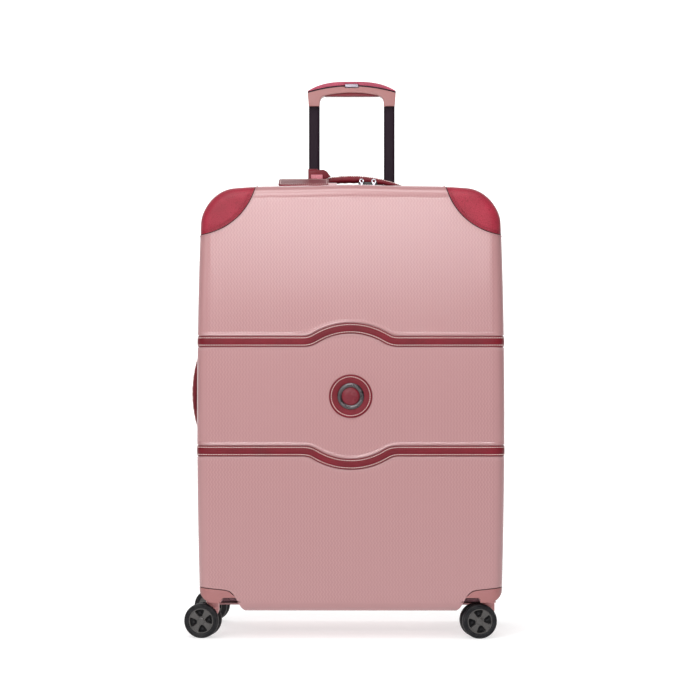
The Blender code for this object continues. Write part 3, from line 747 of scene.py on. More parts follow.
def strap_place(side, above, bowed, shift, lift):
    """A line along a strap, shifted across it and lifted off the shell: (point, outward direction) pairs."""
    profile = skin_profile(0.0)
    right = []
    for drawn, depth, sideways, out in profile[3:]:
        anchor_z = strap_line(wall_x, above, bowed, shift)
        x, z = case_form(shell_half_width - drawn + lift * sideways, anchor_z)
        right.append(((x, side * (depth + lift * out), z), (sideways, side * out, 0)))
    end_x = case_form(shell_half_width - profile[-1][0], strap_line(wall_x, above, bowed, shift))[0]
    middle = []
    for c in skin_columns():
        x = end_x * c
        z = strap_line(x, above, bowed, shift)
        middle.append(((x, side * (profile[-1][1] + panel_swell(x, z) + lift), z), (0, side, 0)))
    left = [((-p[0], p[1], p[2]), (-n[0], n[1], n[2])) for p, n in right]
    return left[:-1] + middle + right[:-1][::-1]


def leather_strap(name, side, above, bowed, body, node):
    edge = strap_width / 2 - 0.0002
    section = [(edge, -0.0016), (edge, -0.0008), (edge - 0.0006, -0.0003), (edge - 0.0018, -0.0001)]
    section += [(stitch_line + 0.0006, -0.0001), (stitch_line, -0.00045), (stitch_line - 0.0006, 0.0),
                (stitch_line * 0.5, 0.00020), (0.0, 0.00025)]
    section += [(-a, b) for a, b in reversed(section[:-1])]
    lines = [strap_place(side, above, bowed, shift, lift) for shift, lift in section]
    rings = [[line[i][0] for line in lines] for i in range(len(lines[0]))]
    strap = dress(loft(name, rings), red_leather, "leather", body, node)
    rows = [strap_place(side, above, bowed, way * stitch_line, 0.0002) for way in (-1, 1)]
    sew(f"{name}_stitching", rows, body)
    return strap


def corner_cap(name, side, hand, body, node):
    centre = (hand * cap_centre[0], cap_centre[1])
    cap = extrude(name, circle(centre, cap_radius - 0.0018), side * (rim_gap + 0.0045), side * outside)
    cut(cap, half_plug("form", side, False, 0.0006), "INTERSECT")
    cut(cap, half_plug("back", side, False, 0.0018))
    for inset in (0.0034, 0.0056):
        groove = extrude("tooled_line", circle(centre, cap_radius - inset), 0, side * outside)
        cut(groove, extrude("core", circle(centre, cap_radius - inset - 0.0009), -side * 0.1,
                            side * farther_out))
        cut(groove, half_plug("depth", side, False, 0.0015))
        cut(cap, groove)
    soften(cap, 0.00025, 2)
    # A near-black leather ring fills the gap round the cap's curve: painted shade of the gap.
    binding = extrude(f"{name}_binding", circle(centre, cap_radius), side * (rim_gap + 0.0045),
                      side * outside)
    cut(binding, extrude("inside", circle(centre, cap_radius - 0.0017), 0, side * farther_out))
    cut(binding, half_plug("top", side, False, 0.0007), "INTERSECT")
    cut(binding, half_plug("foot", side, False, 0.0018))
    dress(soften(binding, 0.0003, 2), cap_gap_shade, "leather", body)
    return dress(cap, leather_painted_sheen, "leather", body, node)


for side, half, end, body in halves:
    for above, level in ((True, "upper"), (False, "lower")):
        leather_strap(f"{half}_{level}_strap", side, above, half == "lid", body, f"{end}_{level}_strap")
    for hand, word in hands:
        corner_cap(f"{half}_{word}_cap", side, hand, body, f"{end}_{word}_corner_cap")

# ---- Medallion ----
# A round of the same leather stitched to the lid, with a dark chromed ring pressed into it and a domed red
# centre.

disc_low, disc_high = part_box("medallion_disc")
ring_low, ring_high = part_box("medallion_ring")
medallion_radius = (disc_high.x - disc_low.x) / 2
ring_outer, ring_inner = (ring_high.x - ring_low.x) / 2, 0.0149
panel_y = -shell_depth


def turned(name, profile, centre, axis="y", steps=64, closed=False):
    """A turned piece: profile of (radius, place along the axis), closed at the ends or round on itself."""
    place = {"y": lambda r, t, a: (centre[0] + r * math.cos(a), t, centre[1] + r * math.sin(a)),
             "x": lambda r, t, a: (t, centre[0] + r * math.cos(a), centre[1] + r * math.sin(a)),
             "z": lambda r, t, a: (centre[0] + r * math.cos(a), centre[1] + r * math.sin(a), t)}[axis]
    rings = [[place(r, t, 2 * math.pi * k / steps) for k in range(steps)] for r, t in profile]
    return loft(name, rings, closed)


def dark_chrome(name, base, roughness):
    """Plated metal with fine circular brush marks and faint handling marks."""
    material, tree, shader = new_finish(name, base, roughness, 1.0)
    where = wire(tree, "TexCoord").outputs["Object"]
    marks = mottle(tree, where, 160.0, 6.0)
    uneven_shine(tree, shader, marks, roughness * 0.6, roughness * 1.5)
    paint(tree, shader, tint(tree, marks, shade(base, 0.9), shade(base, 1.08)))
    relief(tree, shader, marks, 0.05, 0.0002)
    return material


gunmetal = dark_chrome("gunmetal_plating", (0.100, 0.088, 0.092, 1), 0.28)
bright_chrome = dark_chrome("bright_chrome", (0.38, 0.37, 0.40, 1), 0.26)

middle = (0.0, medallion_z)
disc_profile = [(medallion_radius, panel_y + 0.0002), (medallion_radius, panel_y - 0.0009),
                (medallion_radius - 0.0004, panel_y - 0.0015), (medallion_radius - 0.0014, panel_y - 0.0018),
                (0.0324, panel_y - 0.0018), (0.0318, panel_y - 0.0013), (0.0312, panel_y - 0.0018),
                (0.0228, panel_y - 0.0021), (0.0219, panel_y - 0.0017), (0.002, panel_y - 0.0017)]
disc = turned("medallion_leather", disc_profile, middle, steps=96)
dress(disc, red_leather, "leather", "lid", "medallion_disc")
ring_profile = [(ring_outer, panel_y - 0.0012), (ring_outer, panel_y - 0.0030),
                (ring_outer - 0.0005, panel_y - 0.0037), (ring_outer - 0.0020, panel_y - 0.0046),
                (ring_outer - 0.0038, panel_y - 0.0048), (ring_inner + 0.0016, panel_y - 0.0042),
                (ring_inner + 0.0006, panel_y - 0.0037), (ring_inner, panel_y - 0.0030),
                (ring_inner, panel_y - 0.0012)]
ring = turned("medallion_rim", ring_profile, middle, steps=96, closed=True)
dress(ring, gunmetal, "chrome", "lid", "medallion_ring")
dome_profile = [(0.0147, panel_y - 0.0012), (0.0147, panel_y - 0.0024), (0.0138, panel_y - 0.0029)]
dome_profile += [(0.0138 * math.cos(math.radians(t)), panel_y - 0.0029 - 0.0016 * math.sin(math.radians(t)))
                 for t in (15, 30, 45, 60, 75, 86)]
dome = turned("medallion_dome", dome_profile, middle, steps=64)
dress(dome, grained_leather("dome_lacquer", (0.16, 0.012, 0.022, 1), 0.24), "leather", "lid")
circle_line = [((x, panel_y - 0.0017, z), (0, -1, 0)) for x, z in arc(middle, 0.0318, 0, 360, 90)]
sew("medallion_stitching", [circle_line], "lid", pitch=0.0036, length=0.0025)

# ---- Wheel housings ----
# Pink injection-moulded corners riveted into the shells' bottom notches. Each takes a castor's stem, and a
# finger slot beside the castor helps to lift the case.

pivots = {j["name"]: Vector(j["pos_m"]) for j in frame["joints"] if "pos_m" in j}


def moulded_pink(name, base, roughness):
    """Smooth moulded plastic with a faint spark-eroded grain."""
    material, tree, shader = new_finish(name, base, roughness, Specular_IOR_Level=0.5)
    where = wire(tree, "TexCoord").outputs["Object"]
    grain = mottle(tree, where, 1500.0, 2.0)
    cloud = mottle(tree, where, 30.0, 3.0)
    paint(tree, shader, tint(tree, cloud, shade(base, 0.92), shade(base, 1.06)))
    uneven_shine(tree, shader, cloud, roughness - 0.05, roughness + 0.06)
    relief(tree, shader, grain, 0.12, 0.0002)
    return material


housing_pink = moulded_pink("housing_pink", (0.350, 0.140, 0.138, 1), 0.36)
black_plastic = moulded_pink("black_plastic", (0.022, 0.020, 0.022, 1), 0.42)


def wheel_housing(name, prefix, side, hand, body, node):
    corner = arc((-0.2250, 0.0845), 0.0240, 180, 270, 10)
    outline = [(-0.300, 0.0870), *notch_outline(-0.0010)[1:5], (-0.1792, 0.0605), *reversed(corner)]
    housing = extrude(name, mirrored(outline, hand), side * 0.0310, side * outside)
    cut(housing, half_plug("form", side, False, 0.0), "INTERSECT")
    stem = pivots[f"{prefix}_swivel"]
    cut(housing, extrude("bore", arc((stem.x - middle_x, stem.y), 0.0046, 0, 345, 23), 0.05, 0.0735, "z"))
    near, far = hand * 0.1850, hand * 0.2120
    slot = [(near, 0.05), (near, 0.0668), (near + hand * 0.0014, 0.0682), (far - hand * 0.0030, 0.0682),
            (far, 0.0655), (far + hand * 0.0012, 0.05)]
    cut(housing, extrude("finger_slot", slot, side * 0.085, side * outside))
    soften(housing, 0.0009, 3)
    # A black plate on the finger slot's back wall darkens it: painted shade inside the slot.
    shade_plate = extrude(f"{name}_slot_shade_plate", [(near, 0.0606), (near, 0.0680), (far, 0.0680), (far, 0.0606)],
                    side * 0.0846, side * 0.0862)
    dress(shade_plate, black_plastic, "black_plastic", body)
    return dress(housing, housing_pink, "shell_pink", body, node)


for side, half, end, body in halves:
    for hand, word in hands:
        wheel_housing(f"{end}_{word}_housing", f"{end}_{word}", side, hand, body,
                      f"{end}_{word}_wheel_housing")

# ---- Castors ----
# A forked arm turns on a steel stem under each corner and carries two wheels: grey moulded hubs with four
# windows, and soft black tyres pressed over them.

tyre_radius, hub_radius, wheel_half = 0.0285, 0.0208, 0.0060


def worn_rubber():
    material, tree, shader = new_finish("tyre_rubber", (0.012, 0.012, 0.014, 1), 0.55,
                                        Specular_IOR_Level=0.2)
    where = wire(tree, "TexCoord").outputs["Object"]
    dust = mottle(tree, where, 120.0, 6.0)
    film = wire(tree, "MapRange", {0: dust, 1: 0.45, 2: 0.75}).outputs[0]
    paint(tree, shader, tint(tree, film, (0.010, 0.010, 0.012, 1), (0.030, 0.029, 0.030, 1)))
    uneven_shine(tree, shader, dust, 0.42, 0.68)
    relief(tree, shader, dust, 0.15, 0.0002)
    return material


def copied(name, source, matrix):
    """The same moulding set down in another place."""
    mesh = source.data.copy()
    mesh.transform(matrix)
    piece = bpy.data.objects.new(name, mesh)
    piece.location.x = middle_x
    bpy.context.scene.collection.objects.link(piece)
    return piece


def refined(name, node, width=0.0004, segments=2):
    """A CAD piece whose shape is right, with its edges broken as the real moulding's are."""
    mesh = frame["nodes"][node].data.copy()
    piece = bpy.data.objects.new(name, mesh)
    bpy.context.scene.collection.objects.link(piece)
    bm = bmesh.new()
    bm.from_mesh(mesh)
    bmesh.ops.remove_doubles(bm, verts=bm.verts, dist=0.00001)
    bmesh.ops.dissolve_limit(bm, angle_limit=math.radians(2), verts=bm.verts, edges=bm.edges)
    bm.to_mesh(mesh)
    bm.free()
    return soften(piece, width, segments)


def wheel_hub():
    """A hub in its own frame: its axle is z, and its outer face looks up."""
    profile = [(0.0032, -0.0056), (0.0190, -0.0056), (hub_radius, -0.0050), (hub_radius, 0.0046),
               (hub_radius - 0.0006, 0.0052), (hub_radius - 0.0016, 0.0052), (hub_radius - 0.0021, 0.0046),
               (0.0062, 0.0042), (0.0058, 0.0050), (0.0050, 0.0055), (0.0010, 0.0057)]
    hub = turned("hub", profile, (0, 0), "z", 72)
    hub.location.x = 0
    for k in range(4):
        turn = Matrix.Rotation(math.radians(90 * k + 9), 4, "Z")
        flank = [(0.0072, 0.0022), (0.0084, 0.0036), (0.0150, 0.0074), (0.0172, 0.0074), (0.0184, 0.0054)]
        outline = flank + [(0.0189, 0.0)] + [(a, -b) for a, b in reversed(flank)] + [(0.0068, 0.0)]
        window = extrude("window", outline, -0.010, 0.010, "z")
        window.location.x = 0
        window.data.transform(turn)
        cut(hub, window)
    soften(hub, 0.0003, 2)
    return hub


def wheel_tyre():
    profile = [(hub_radius, -0.0052), (0.0225, -0.0058), (0.0262, -wheel_half), (0.0276, -0.0054),
               (0.0283, -0.0044), (tyre_radius, -0.0030), (tyre_radius, 0.0030), (0.0283, 0.0044),
               (0.0276, 0.0054), (0.0262, wheel_half), (0.0251, wheel_half), (0.0248, 0.0056),
               (0.0245, wheel_half), (0.0226, 0.0059), (0.0218, 0.0054), (hub_radius, 0.0048)]
    tyre = turned("tyre", profile, (0, 0), "z", 96, closed=True)
    tyre.location.x = 0
    web = turned("web", [(0.0064, -0.0040), (0.0196, -0.0040), (0.0196, -0.0022), (0.0064, -0.0022)],
                 (0, 0), "z", 64, closed=True)
    web.location.x = 0
    for k in range(4):
        boss = turned("boss", [(0.0024, -0.0030), (0.0024, 0.0014), (0.0018, 0.0020), (0.0004, 0.0020)],
                      (0, 0), "z", 20)
        angle = math.radians(90 * k + 9)
        boss.location.x = 0
        boss.data.transform(Matrix.Translation((0.0132 * math.cos(angle), 0.0132 * math.sin(angle), 0)))
        cut(web, boss, "UNION")
    cut(tyre, web, "UNION")
    smooth_by_angle(tyre)
    return tyre


# The forks' pink is much lighter than the housings' moulded pink: painted light on forks that sit in shade.
fork_pink_painted_light = moulded_pink("fork_pink_painted_light", (0.60, 0.26, 0.26, 1), 0.40)
hub_grey = moulded_pink("hub_grey", (0.064, 0.060, 0.058, 1), 0.34)
tyre_rubber = worn_rubber()
hub_master, tyre_master = wheel_hub(), wheel_tyre()
for end in ("front", "rear"):
    for word in ("left", "right"):
        prefix = f"{end}_{word}"
        fork = refined(f"{prefix}_fork_arm", f"{prefix}_fork", 0.0009, 3)
        dress(fork, fork_pink_painted_light, "shell_pink", f"{prefix}_castor", f"{prefix}_fork")
        spots = {name: pivots[f"{prefix}_{name}_wheel_spin"] for name in ("outer", "inner")}
        for name, other in (("outer", "inner"), ("inner", "outer")):
            outward = (spots[name] - spots[other]).normalized()
            across = Vector((0, 0, 1)).cross(outward)
            place = Matrix.Translation(spots[name] - Vector((middle_x, 0, 0)))
            place = place @ Matrix((across, (0, 0, 1), outward)).transposed().to_4x4()
            wheel = f"{prefix}_{name}_wheel"
            dress(copied(f"{wheel}_tyre", tyre_master, place), tyre_rubber, "tyre", wheel, wheel)
            dress(copied(f"{wheel}_hub", hub_master, place), hub_grey, "black_plastic", wheel)
bpy.data.objects.remove(hub_master)
bpy.data.objects.remove(tyre_master)

# ---- Telescopic handle ----
# Two anodised aluminium tubes slide out of a bezel in the rear shell's top. A moulded pink grip joins them,
# with a soft red cover along its back, a black inlay line, and a silver release button in the middle.

grip_low, grip_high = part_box("grip_frame")
tube_low, tube_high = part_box("right_inner_tube")
tube_x = (tube_low.x + tube_high.x) / 2 - middle_x
tube_y, leg_foot_z = (tube_low.y + tube_high.y) / 2, grip_low.z
grip_y = (grip_low.y, grip_high.y)
cover_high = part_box("grip_cover")[1]
button_half = 0.0114


def arch(half, end_z, mid_z, count=28):
    """A shallow arc through both ends and the middle, left to right."""
    rise = mid_z - end_z
    radius = (half**2 + rise**2) / (2 * rise)
    reach = math.degrees(math.asin(half / radius))
    return arc((0, mid_z - radius), radius, 90 + reach, 90 - reach, count)


def anodised_tube():
    """Plum anodised aluminium with fine drawn lines along the tube."""
    base = (0.017, 0.009, 0.015, 1)
    material, tree, shader = new_finish("anodised_plum", base, 0.50, 0.05, Specular_IOR_Level=0.06)
    where = wire(tree, "TexCoord").outputs["Object"]
    drawn = wire(tree, "Mapping", {"Vector": where, "Scale": (900.0, 900.0, 6.0)}).outputs[0]
    lines = wire(tree, "TexNoise", {"Vector": drawn, "Scale": 1.0, "Detail": 3.0}).outputs[0]
    uneven_shine(tree, shader, lines, 0.26, 0.42)
    paint(tree, shader, tint(tree, lines, shade(base, 0.85), shade(base, 1.2)))
    relief(tree, shader, lines, 0.08, 0.0001)
    return material


plum_tube, satin_silver = anodised_tube(), dark_chrome("satin_silver", (0.36, 0.33, 0.38, 1), 0.44)
grip_pink = moulded_pink("grip_pink", (0.340, 0.140, 0.134, 1), 0.36)
grip_cover_red = grained_leather("grip_cover_red", (0.40, 0.060, 0.105, 1), 0.34)

for hand, word in hands:
    centre = (hand * tube_x, tube_y)
    inner = extrude(f"{word}_sliding_tube", rounded(0.0188, 0.0125, 0.0042, centre, 8), tube_low.z,
                    leg_foot_z, "z")
    cut(inner, extrude("bore", rounded(0.0164, 0.0101, 0.0030, centre, 8), 0, leg_foot_z - 0.004, "z"))
    smooth_by_angle(inner)
    dress(inner, plum_tube, "tube_plum", "trolley", f"{word}_inner_tube")
    outer_low, outer_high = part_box(f"{word}_outer_tube")
    outer = extrude(f"{word}_guide_tube", rounded(0.024, 0.017, 0.005, centre, 8), outer_low.z,
                    outer_high.z, "z")
    cut(outer, extrude("bore", rounded(0.0216, 0.0146, 0.004, centre, 8), 0, 1, "z"))
    smooth_by_angle(outer)
    dress(outer, plum_tube, "tube_plum", "case", f"{word}_outer_tube")

foot = refined("handle_foot", "trolley_foot", 0.0008)
dress(foot, black_plastic, "black_plastic", "case", "trolley_foot")
bezel = refined("handle_bezel", "trolley_bezel", 0.0007, 3)
dress(bezel, housing_pink, "shell_pink", "case", "trolley_bezel")


def grip():
    under = arch(0.0470, 0.9162, 0.9214)
    right = [(0.0765, 0.9200), (0.0764, 0.9175), (0.0749, leg_foot_z), (0.0561, leg_foot_z),
             (0.0557, 0.9050)]
    right += [(0.0553, 0.9082), (0.0541, 0.9112), (0.0523, 0.9135), (0.0499, 0.9152)]
    left = [(-x, z) for x, z in reversed(right)]
    outline = arch(0.0758, 0.9219, 0.9332) + right + under[::-1] + left
    handle = extrude("grip_moulding", outline, *grip_y)
    slot = [(-button_half - 0.0004, 0.9300), (button_half + 0.0004, 0.9300), (button_half + 0.0004, 0.9366),
            (-button_half - 0.0004, 0.9366)]

    def open_slot(piece):
        cut(piece, extrude("slot", slot, grip_y[0] - 0.01, grip_y[0] + 0.0065))

    open_slot(handle)
    soften(handle, 0.0020, 4, 50)
    dress(handle, grip_pink, "shell_pink", "trolley", "grip_frame")
    pad = extrude("grip_underside", under + [(0.0462, 0.9157), (-0.0462, 0.9157)], grip_y[0] + 0.0016,
                  grip_y[1] - 0.0016)
    soften(pad, 0.0005, 2)
    dress(pad, red_leather, "leather", "trolley")
    crest = [(x / 100 * 0.0763, cover_high.z - 0.0160 * abs(x / 100) ** 3) for x in range(-100, 101, 5)]
    cover = extrude("grip_soft_cover", crest + arch(0.0763, 0.9230, 0.9344)[::-1],
                    grip_y[0] + 0.0003, grip_y[1] - 0.0003)
    open_slot(cover)
    soften(cover, 0.0016, 4, 50)
    dress(cover, grip_cover_red, "leather", "trolley", "grip_cover")
    line = extrude("grip_inlay", arch(0.0768, 0.9234, 0.9348) + arch(0.0766, 0.9212, 0.9326)[::-1],
                   grip_y[0] - 0.0007, grip_y[1] + 0.0007)
    open_slot(line)
    soften(line, 0.0003, 2)
    dress(line, plum_tube, "black_plastic", "trolley")
    face = grip_y[0] - 0.0014
    button = extrude("grip_button", rounded(2 * button_half, 0.0052, 0.0012, (0, 0.9334)), face,
                     grip_y[0] + 0.0040)
    soften(button, 0.0005, 3)
    dress(button, satin_silver, "chrome", "release_button", "release_button")


grip()

# ---- Carrying handles ----
# Padded leather bows, one on top and one on the left side. Each is folded round a foam core, stitched along
# both edges, and held at its ends by sockets on a leather base that lets it lift.

handle_low, handle_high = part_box("top_handle")
handle_y = (handle_low.y + handle_high.y) / 2


def bow(name, half, rise, thick, set_down, body, node):
    """A padded bow along X over z = 0: rise is its middle line's height above its ends."""
    rings, seams = [], {-1: [], 1: []}
    stations = 48
    for i in range(stations + 1):
        t = -1 + 2 * i / stations
        lift = 1 - t * t
        across, deep = 0.010 + 0.003 * lift, 0.0025 + (thick / 2 - 0.0025) * lift**0.8
        puff = 0.0003 * math.sin(i * 1.7) * lift
        ring = []
        for k in range(36):
            a = 2 * math.pi * (k + 0.5) / 36
            y = across * math.copysign(abs(math.cos(a)) ** 0.75, math.cos(a))
            crease = 0
            if math.sin(a) > 0:
                crease = 0.00035 * math.exp(-(((abs(y) - across * 0.80) / 0.0007) ** 2))
            z = deep * math.copysign(abs(math.sin(a)) ** 0.75, math.sin(a)) - crease
            ring.append(set_down @ Vector((half * t, y, 0.0040 + rise * lift + z + puff)))
        rings.append(ring)
        height = deep * (1 - 0.80**2.66) ** 0.375
        if abs(t) < 0.97:
            for way in seams:
                spot = Vector((half * t, way * across * 0.80, 0.0040 + rise * lift + height + puff - 0.0001))
                seams[way].append((set_down @ spot, set_down.to_3x3() @ Vector((0, way * 0.6, 1))))
    handle = dress(loft(name, rings), red_leather, "leather", body, node)
    sew(f"{name}_stitching", list(seams.values()), body, pitch=0.0038, length=0.0027)


bow("carrying_handle", 0.092, 0.0152, 0.0127, Matrix.Translation((0, handle_y, shell_top_z)), "top_handle",
    "top_handle")
side_x, side_z = -(shell_half_width + 0.0001), 0.400
on_side = Matrix.Translation((side_x, handle_y, side_z)) @ Matrix.Rotation(math.radians(-90), 4, "Y")
bow("side_carrying_handle", 0.070, 0.0096, 0.0110, on_side, "side_handle", "side_handle")
for name, node in (("top_handle_seat", "top_handle_base"), ("side_handle_seat", "side_handle_base")):
    seat = refined(name, node, 0.0005, 3)
    dress(seat, red_leather, "leather", "case", node)

# ---- Luggage tag ----
# A stitched leather address tag that hangs on a belt round the top handle. A clear window holds a plain card
# with a pale pull tab.

tag_pin = pivots["tag_swing"] - Vector((middle_x, 0, 0))
tag_x, tag_lean = -0.0805, math.radians(16)
tag_size = (0.084, 0.046)
tag_place = Matrix.Translation((0, tag_pin.y, tag_pin.z)) @ Matrix.Rotation(tag_lean, 4, "X")
tag_middle = (tag_x, -0.0245)


def on_tag(piece, segments=2, width=0.0004):
    piece.data.transform(tag_place)
    return soften(piece, width, segments)


def clear_window():
    material, tree, shader = new_finish("clear_vinyl", (0.93, 0.86, 0.87, 1), 0.12, Coat_Weight=0.6)
    haze = mottle(tree, wire(tree, "TexCoord").outputs["Object"], 40.0, 3.0)
    uneven_shine(tree, shader, haze, 0.06, 0.22)
    tree.links.new(tint(tree, haze, (0.80, 0.66, 0.68, 1), (0.90, 0.80, 0.81, 1)),
                   shader.inputs["Base Color"])
    return material


edge_pink = grained_leather("pink_leather_edge", (0.62, 0.20, 0.24, 1), 0.40)
plate = extrude("tag_leather", rounded(*tag_size, 0.006, tag_middle, 8), -0.0015, 0.0013, "z")
opening = rounded(0.058, 0.026, 0.004, (tag_x + 0.002, -0.0262), 6)
cut(plate, extrude("opening", opening, -0.01, -0.0004, "z"))
eye = [(-0.0045, -0.0012), *arc((0, 0), 0.0015, 270, 450, 12), (-0.0045, 0.0010)]
cut(plate, extrude("eye", eye, tag_pin.x - 0.0080, tag_pin.x + 0.0080, "x"), "UNION")
dress(on_tag(plate), red_leather, "leather", "luggage_tag", "luggage_tag")
# The tag's edge wears the caps' lighter leather, whose red carries painted sheen.
rim = extrude("tag_edge_paint", rounded(tag_size[0] + 0.0006, tag_size[1] + 0.0006, 0.0063, tag_middle, 8),
              -0.0009, 0.0006, "z")
cut(rim, extrude("inside", rounded(tag_size[0] - 0.001, tag_size[1] - 0.001, 0.0055, tag_middle, 8), -0.01,
                 0.01, "z"))
cut(rim, extrude("eye_gap", rounded(0.0175, 0.004, 0.0005, (tag_pin.x, -0.0016)), -0.01, 0.01, "z"))
dress(on_tag(rim), leather_painted_sheen, "leather", "luggage_tag")
card = extrude("tag_card", rounded(0.0576, 0.0256, 0.0038, (tag_x + 0.002, -0.0262), 6), -0.0011, -0.0005,
               "z")
dress(on_tag(card, 1, 0.0001), clear_window(), "leather", "luggage_tag")
pull = extrude("tag_card_pull", rounded(0.0200, 0.0105, 0.0022, (tag_x + 0.0465, -0.0372), 6), -0.0010,
               0.0010, "z")
dress(on_tag(pull, 2, 0.0005), grained_leather("pale_pink_tab", (0.72, 0.48, 0.49, 1), 0.5), "leather",
      "luggage_tag")
edge_line = rounded(tag_size[0] - 0.006, tag_size[1] - 0.007, 0.004, tag_middle, 8)
loop = [(tag_place @ Vector((x, y, 0.0013)), tag_place.to_3x3() @ Vector((0, 0, 1)))
        for x, y in edge_line + edge_line[:1]]
sew("tag_stitching", [loop], "luggage_tag", pitch=0.0034, length=0.0024, radius=0.00032)

belt = refined("tag_belt_loop", "tag_belt", 0.0005, 3)
dress(belt, red_leather, "leather", "top_handle", "tag_belt")
belt_x = tag_pin.x
keeper = extrude("tag_belt_keeper", rounded(0.0066, 0.0112, 0.0022, (0.0236, 0.7680)), belt_x - 0.0030,
                 belt_x + 0.0168, "x")
soften(keeper, 0.0008, 3)
dress(keeper, edge_pink, "leather", "top_handle")
tongue = [(belt_x + 0.0006, 0.7668), (belt_x + 0.0006, 0.7815), (belt_x + 0.0180, 0.7825),
          (belt_x + 0.0240, 0.7795), (belt_x + 0.0310, 0.7700), (belt_x + 0.0220, 0.7668)]
tongue = extrude("tag_belt_tongue", tongue, 0.0270, 0.0292)
soften(tongue, 0.0008, 3)
dress(tongue, red_leather, "leather", "top_handle")

# ---- Zip sliders and pulls ----
# Two die-cast sliders run on the teeth and meet on top of the case. Their pulls hang on small bails and
# stand up in the lock's dock.

for word in ("left", "right"):
    slider = refined(f"{word}_slider_casting", f"{word}_zip_slider", 0.0003)
    dress(slider, bright_chrome, "chrome", f"{word}_zip_slider", f"{word}_zip_slider")
    pull = refined(f"{word}_pull_casting", f"{word}_zip_pull", 0.0004, 3)
    dress(pull, bright_chrome, "chrome", f"{word}_zip_pull", f"{word}_zip_pull")

# ---- Combination lock ----
# A black moulded housing screwed to the rear shell behind the zip. Three knurled number wheels and a chromed
# push button release the pulls from its dock.

housing = refined("lock_moulding", "lock_housing", 0.0005, 3)
dress(housing, black_plastic, "black_plastic", "case", "lock_housing")
for n in (1, 2, 3):
    low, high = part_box(f"lock_dial_{n}")
    centre = ((low.y + high.y) / 2, (low.z + high.z) / 2)
    left, right, radius = low.x - middle_x, high.x - middle_x, (high.y - low.y) / 2
    rings = []
    for t, r in ((0, 0.82), (0.10, 0.98), (0.36, 1.0), (0.40, 0.90), (0.60, 0.90), (0.64, 1.0),
                 (0.90, 0.98), (1, 0.82)):
        ring = []
        for k in range(80):
            knurl = 1 - 0.05 * (k % 4 == 0) if r > 0.95 else 1
            a = 2 * math.pi * k / 80
            ring.append((left + (right - left) * t, centre[0] + radius * r * knurl * math.cos(a),
                         centre[1] + radius * r * knurl * math.sin(a)))
        rings.append(ring)
    wheel = loft(f"number_wheel_{n}", rings)
    dress(wheel, bright_chrome, "black_plastic", f"lock_dial_{n}", f"lock_dial_{n}")
button = refined("lock_push_button", "lock_button", 0.0005, 3)
low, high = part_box("lock_button")
for k in range(3):
    x = low.x + 0.003 + 0.002 * k - middle_x
    rib = extrude("rib", rounded(0.0009, high.y - low.y - 0.002, 0.0003, (x, (low.y + high.y) / 2)),
                  high.z - 0.0010, high.z + 0.0004, "z")
    rib.data.transform(Matrix.Translation((middle_x, 0, 0)))
    rib.location.x = 0
    cut(button, rib, "UNION")
smooth_by_angle(button)
dress(button, bright_chrome, "chrome", "lock_button", "lock_button")

# ---- Divider ----
# A zip-up panel of lining cloth that closes the lid's half. Its edge is bound with the zip's tape, and a
# welt holds the zip of a flat pocket.

divider_low, divider_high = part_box("divider_panel")
divider_y = (divider_low.y + divider_high.y) / 2


def divider():
    outline = case_outline(0.0085)
    middle = Vector((0, 0.40))
    rings = []
    for shrink, lift in ((1.0, 0.0), (1.0, 0.0008), (0.975, 0.0009), (0.972, 0.0004), (0.90, 0.0006),
                         (0.5, 0.0010), (0.02, 0.0010)):
        rings.append([(x * shrink, divider_y + lift, middle.y + (z - middle.y) * shrink)
                      for x, z in outline])
    rings = rings[::-1] + [[(x, 2 * divider_y - y, z) for x, y, z in ring] for ring in rings[1:]]
    panel = loft("divider_cloth", rings)
    dress(panel, lining_cloth, "lining", "lid", "divider_panel")
    binding = []
    points = case_outline(0.0100)
    for i, (x, z) in enumerate(points):
        before, after = Vector(points[i - 1]), Vector(points[(i + 1) % len(points)])
        along = (after - before).normalized()
        side_way = Vector((along.y, -along.x))
        ring = []
        for k in range(10):
            a = 2 * math.pi * k / 10
            spread = side_way * 0.0042 * math.cos(a)
            ring.append((x + spread.x, divider_y + 0.0016 * math.sin(a), z + spread.y))
        binding.append(ring)
    tape = loft("divider_binding", binding, closed=True)
    dress(tape, tape_cloth, "zip_cloth", "lid")
    pocket_line = [(x * 0.86, divider_y + 0.0016, 0.60) for x in (-0.22, -0.11, 0, 0.11, 0.22)]
    teeth = scatter("divider_pocket_zip", stitch_shape(0.0016, 0.0011),
                    [facing_frame(p, (0, 0, 1), (0, 1, 0)) for p, _ in walk(pocket_line, 0.0022)])
    dress(teeth, tooth_plastic, "zip_cloth", "lid")
    welt = extrude("divider_pocket_welt", rounded(0.392, 0.018, 0.004, (0, 0.60)), divider_y,
                   divider_y + 0.0013)
    soften(welt, 0.0004, 2)
    dress(welt, tape_cloth, "zip_cloth", "lid")


divider()

# ---- Packing straps ----
# Two crossed elastic webbings sewn into the rear lining's corners. A black moulded side-release buckle joins
# them where they meet.

strap_reach, strap_low_z, strap_high_z, webbing_half = 0.236, 0.150, 0.640, 0.0125


def elastic_webbing():
    base = (0.30, 0.10, 0.13, 1)
    material, tree, shader = new_finish("elastic_webbing", base, 0.7, Sheen_Weight=0.3)
    where = wire(tree, "TexCoord").outputs["Object"]
    x, y, z = wire(tree, "SeparateXYZ", {0: where}).outputs
    ribs = calc(tree, "SINE", calc(tree, "MULTIPLY", z, 2 * math.pi / 0.0015))
    weft = calc(tree, "SINE", calc(tree, "MULTIPLY", x, 2 * math.pi / 0.0011))
    weave = calc(tree, "MULTIPLY", ribs, weft)
    colour = tint(tree, calc(tree, "MULTIPLY_ADD", weave, 0.35, 0.5), shade(base, 0.65), shade(base, 1.25))
    paint(tree, shader, colour)
    relief(tree, shader, weave, 0.6, 0.0003)
    return material


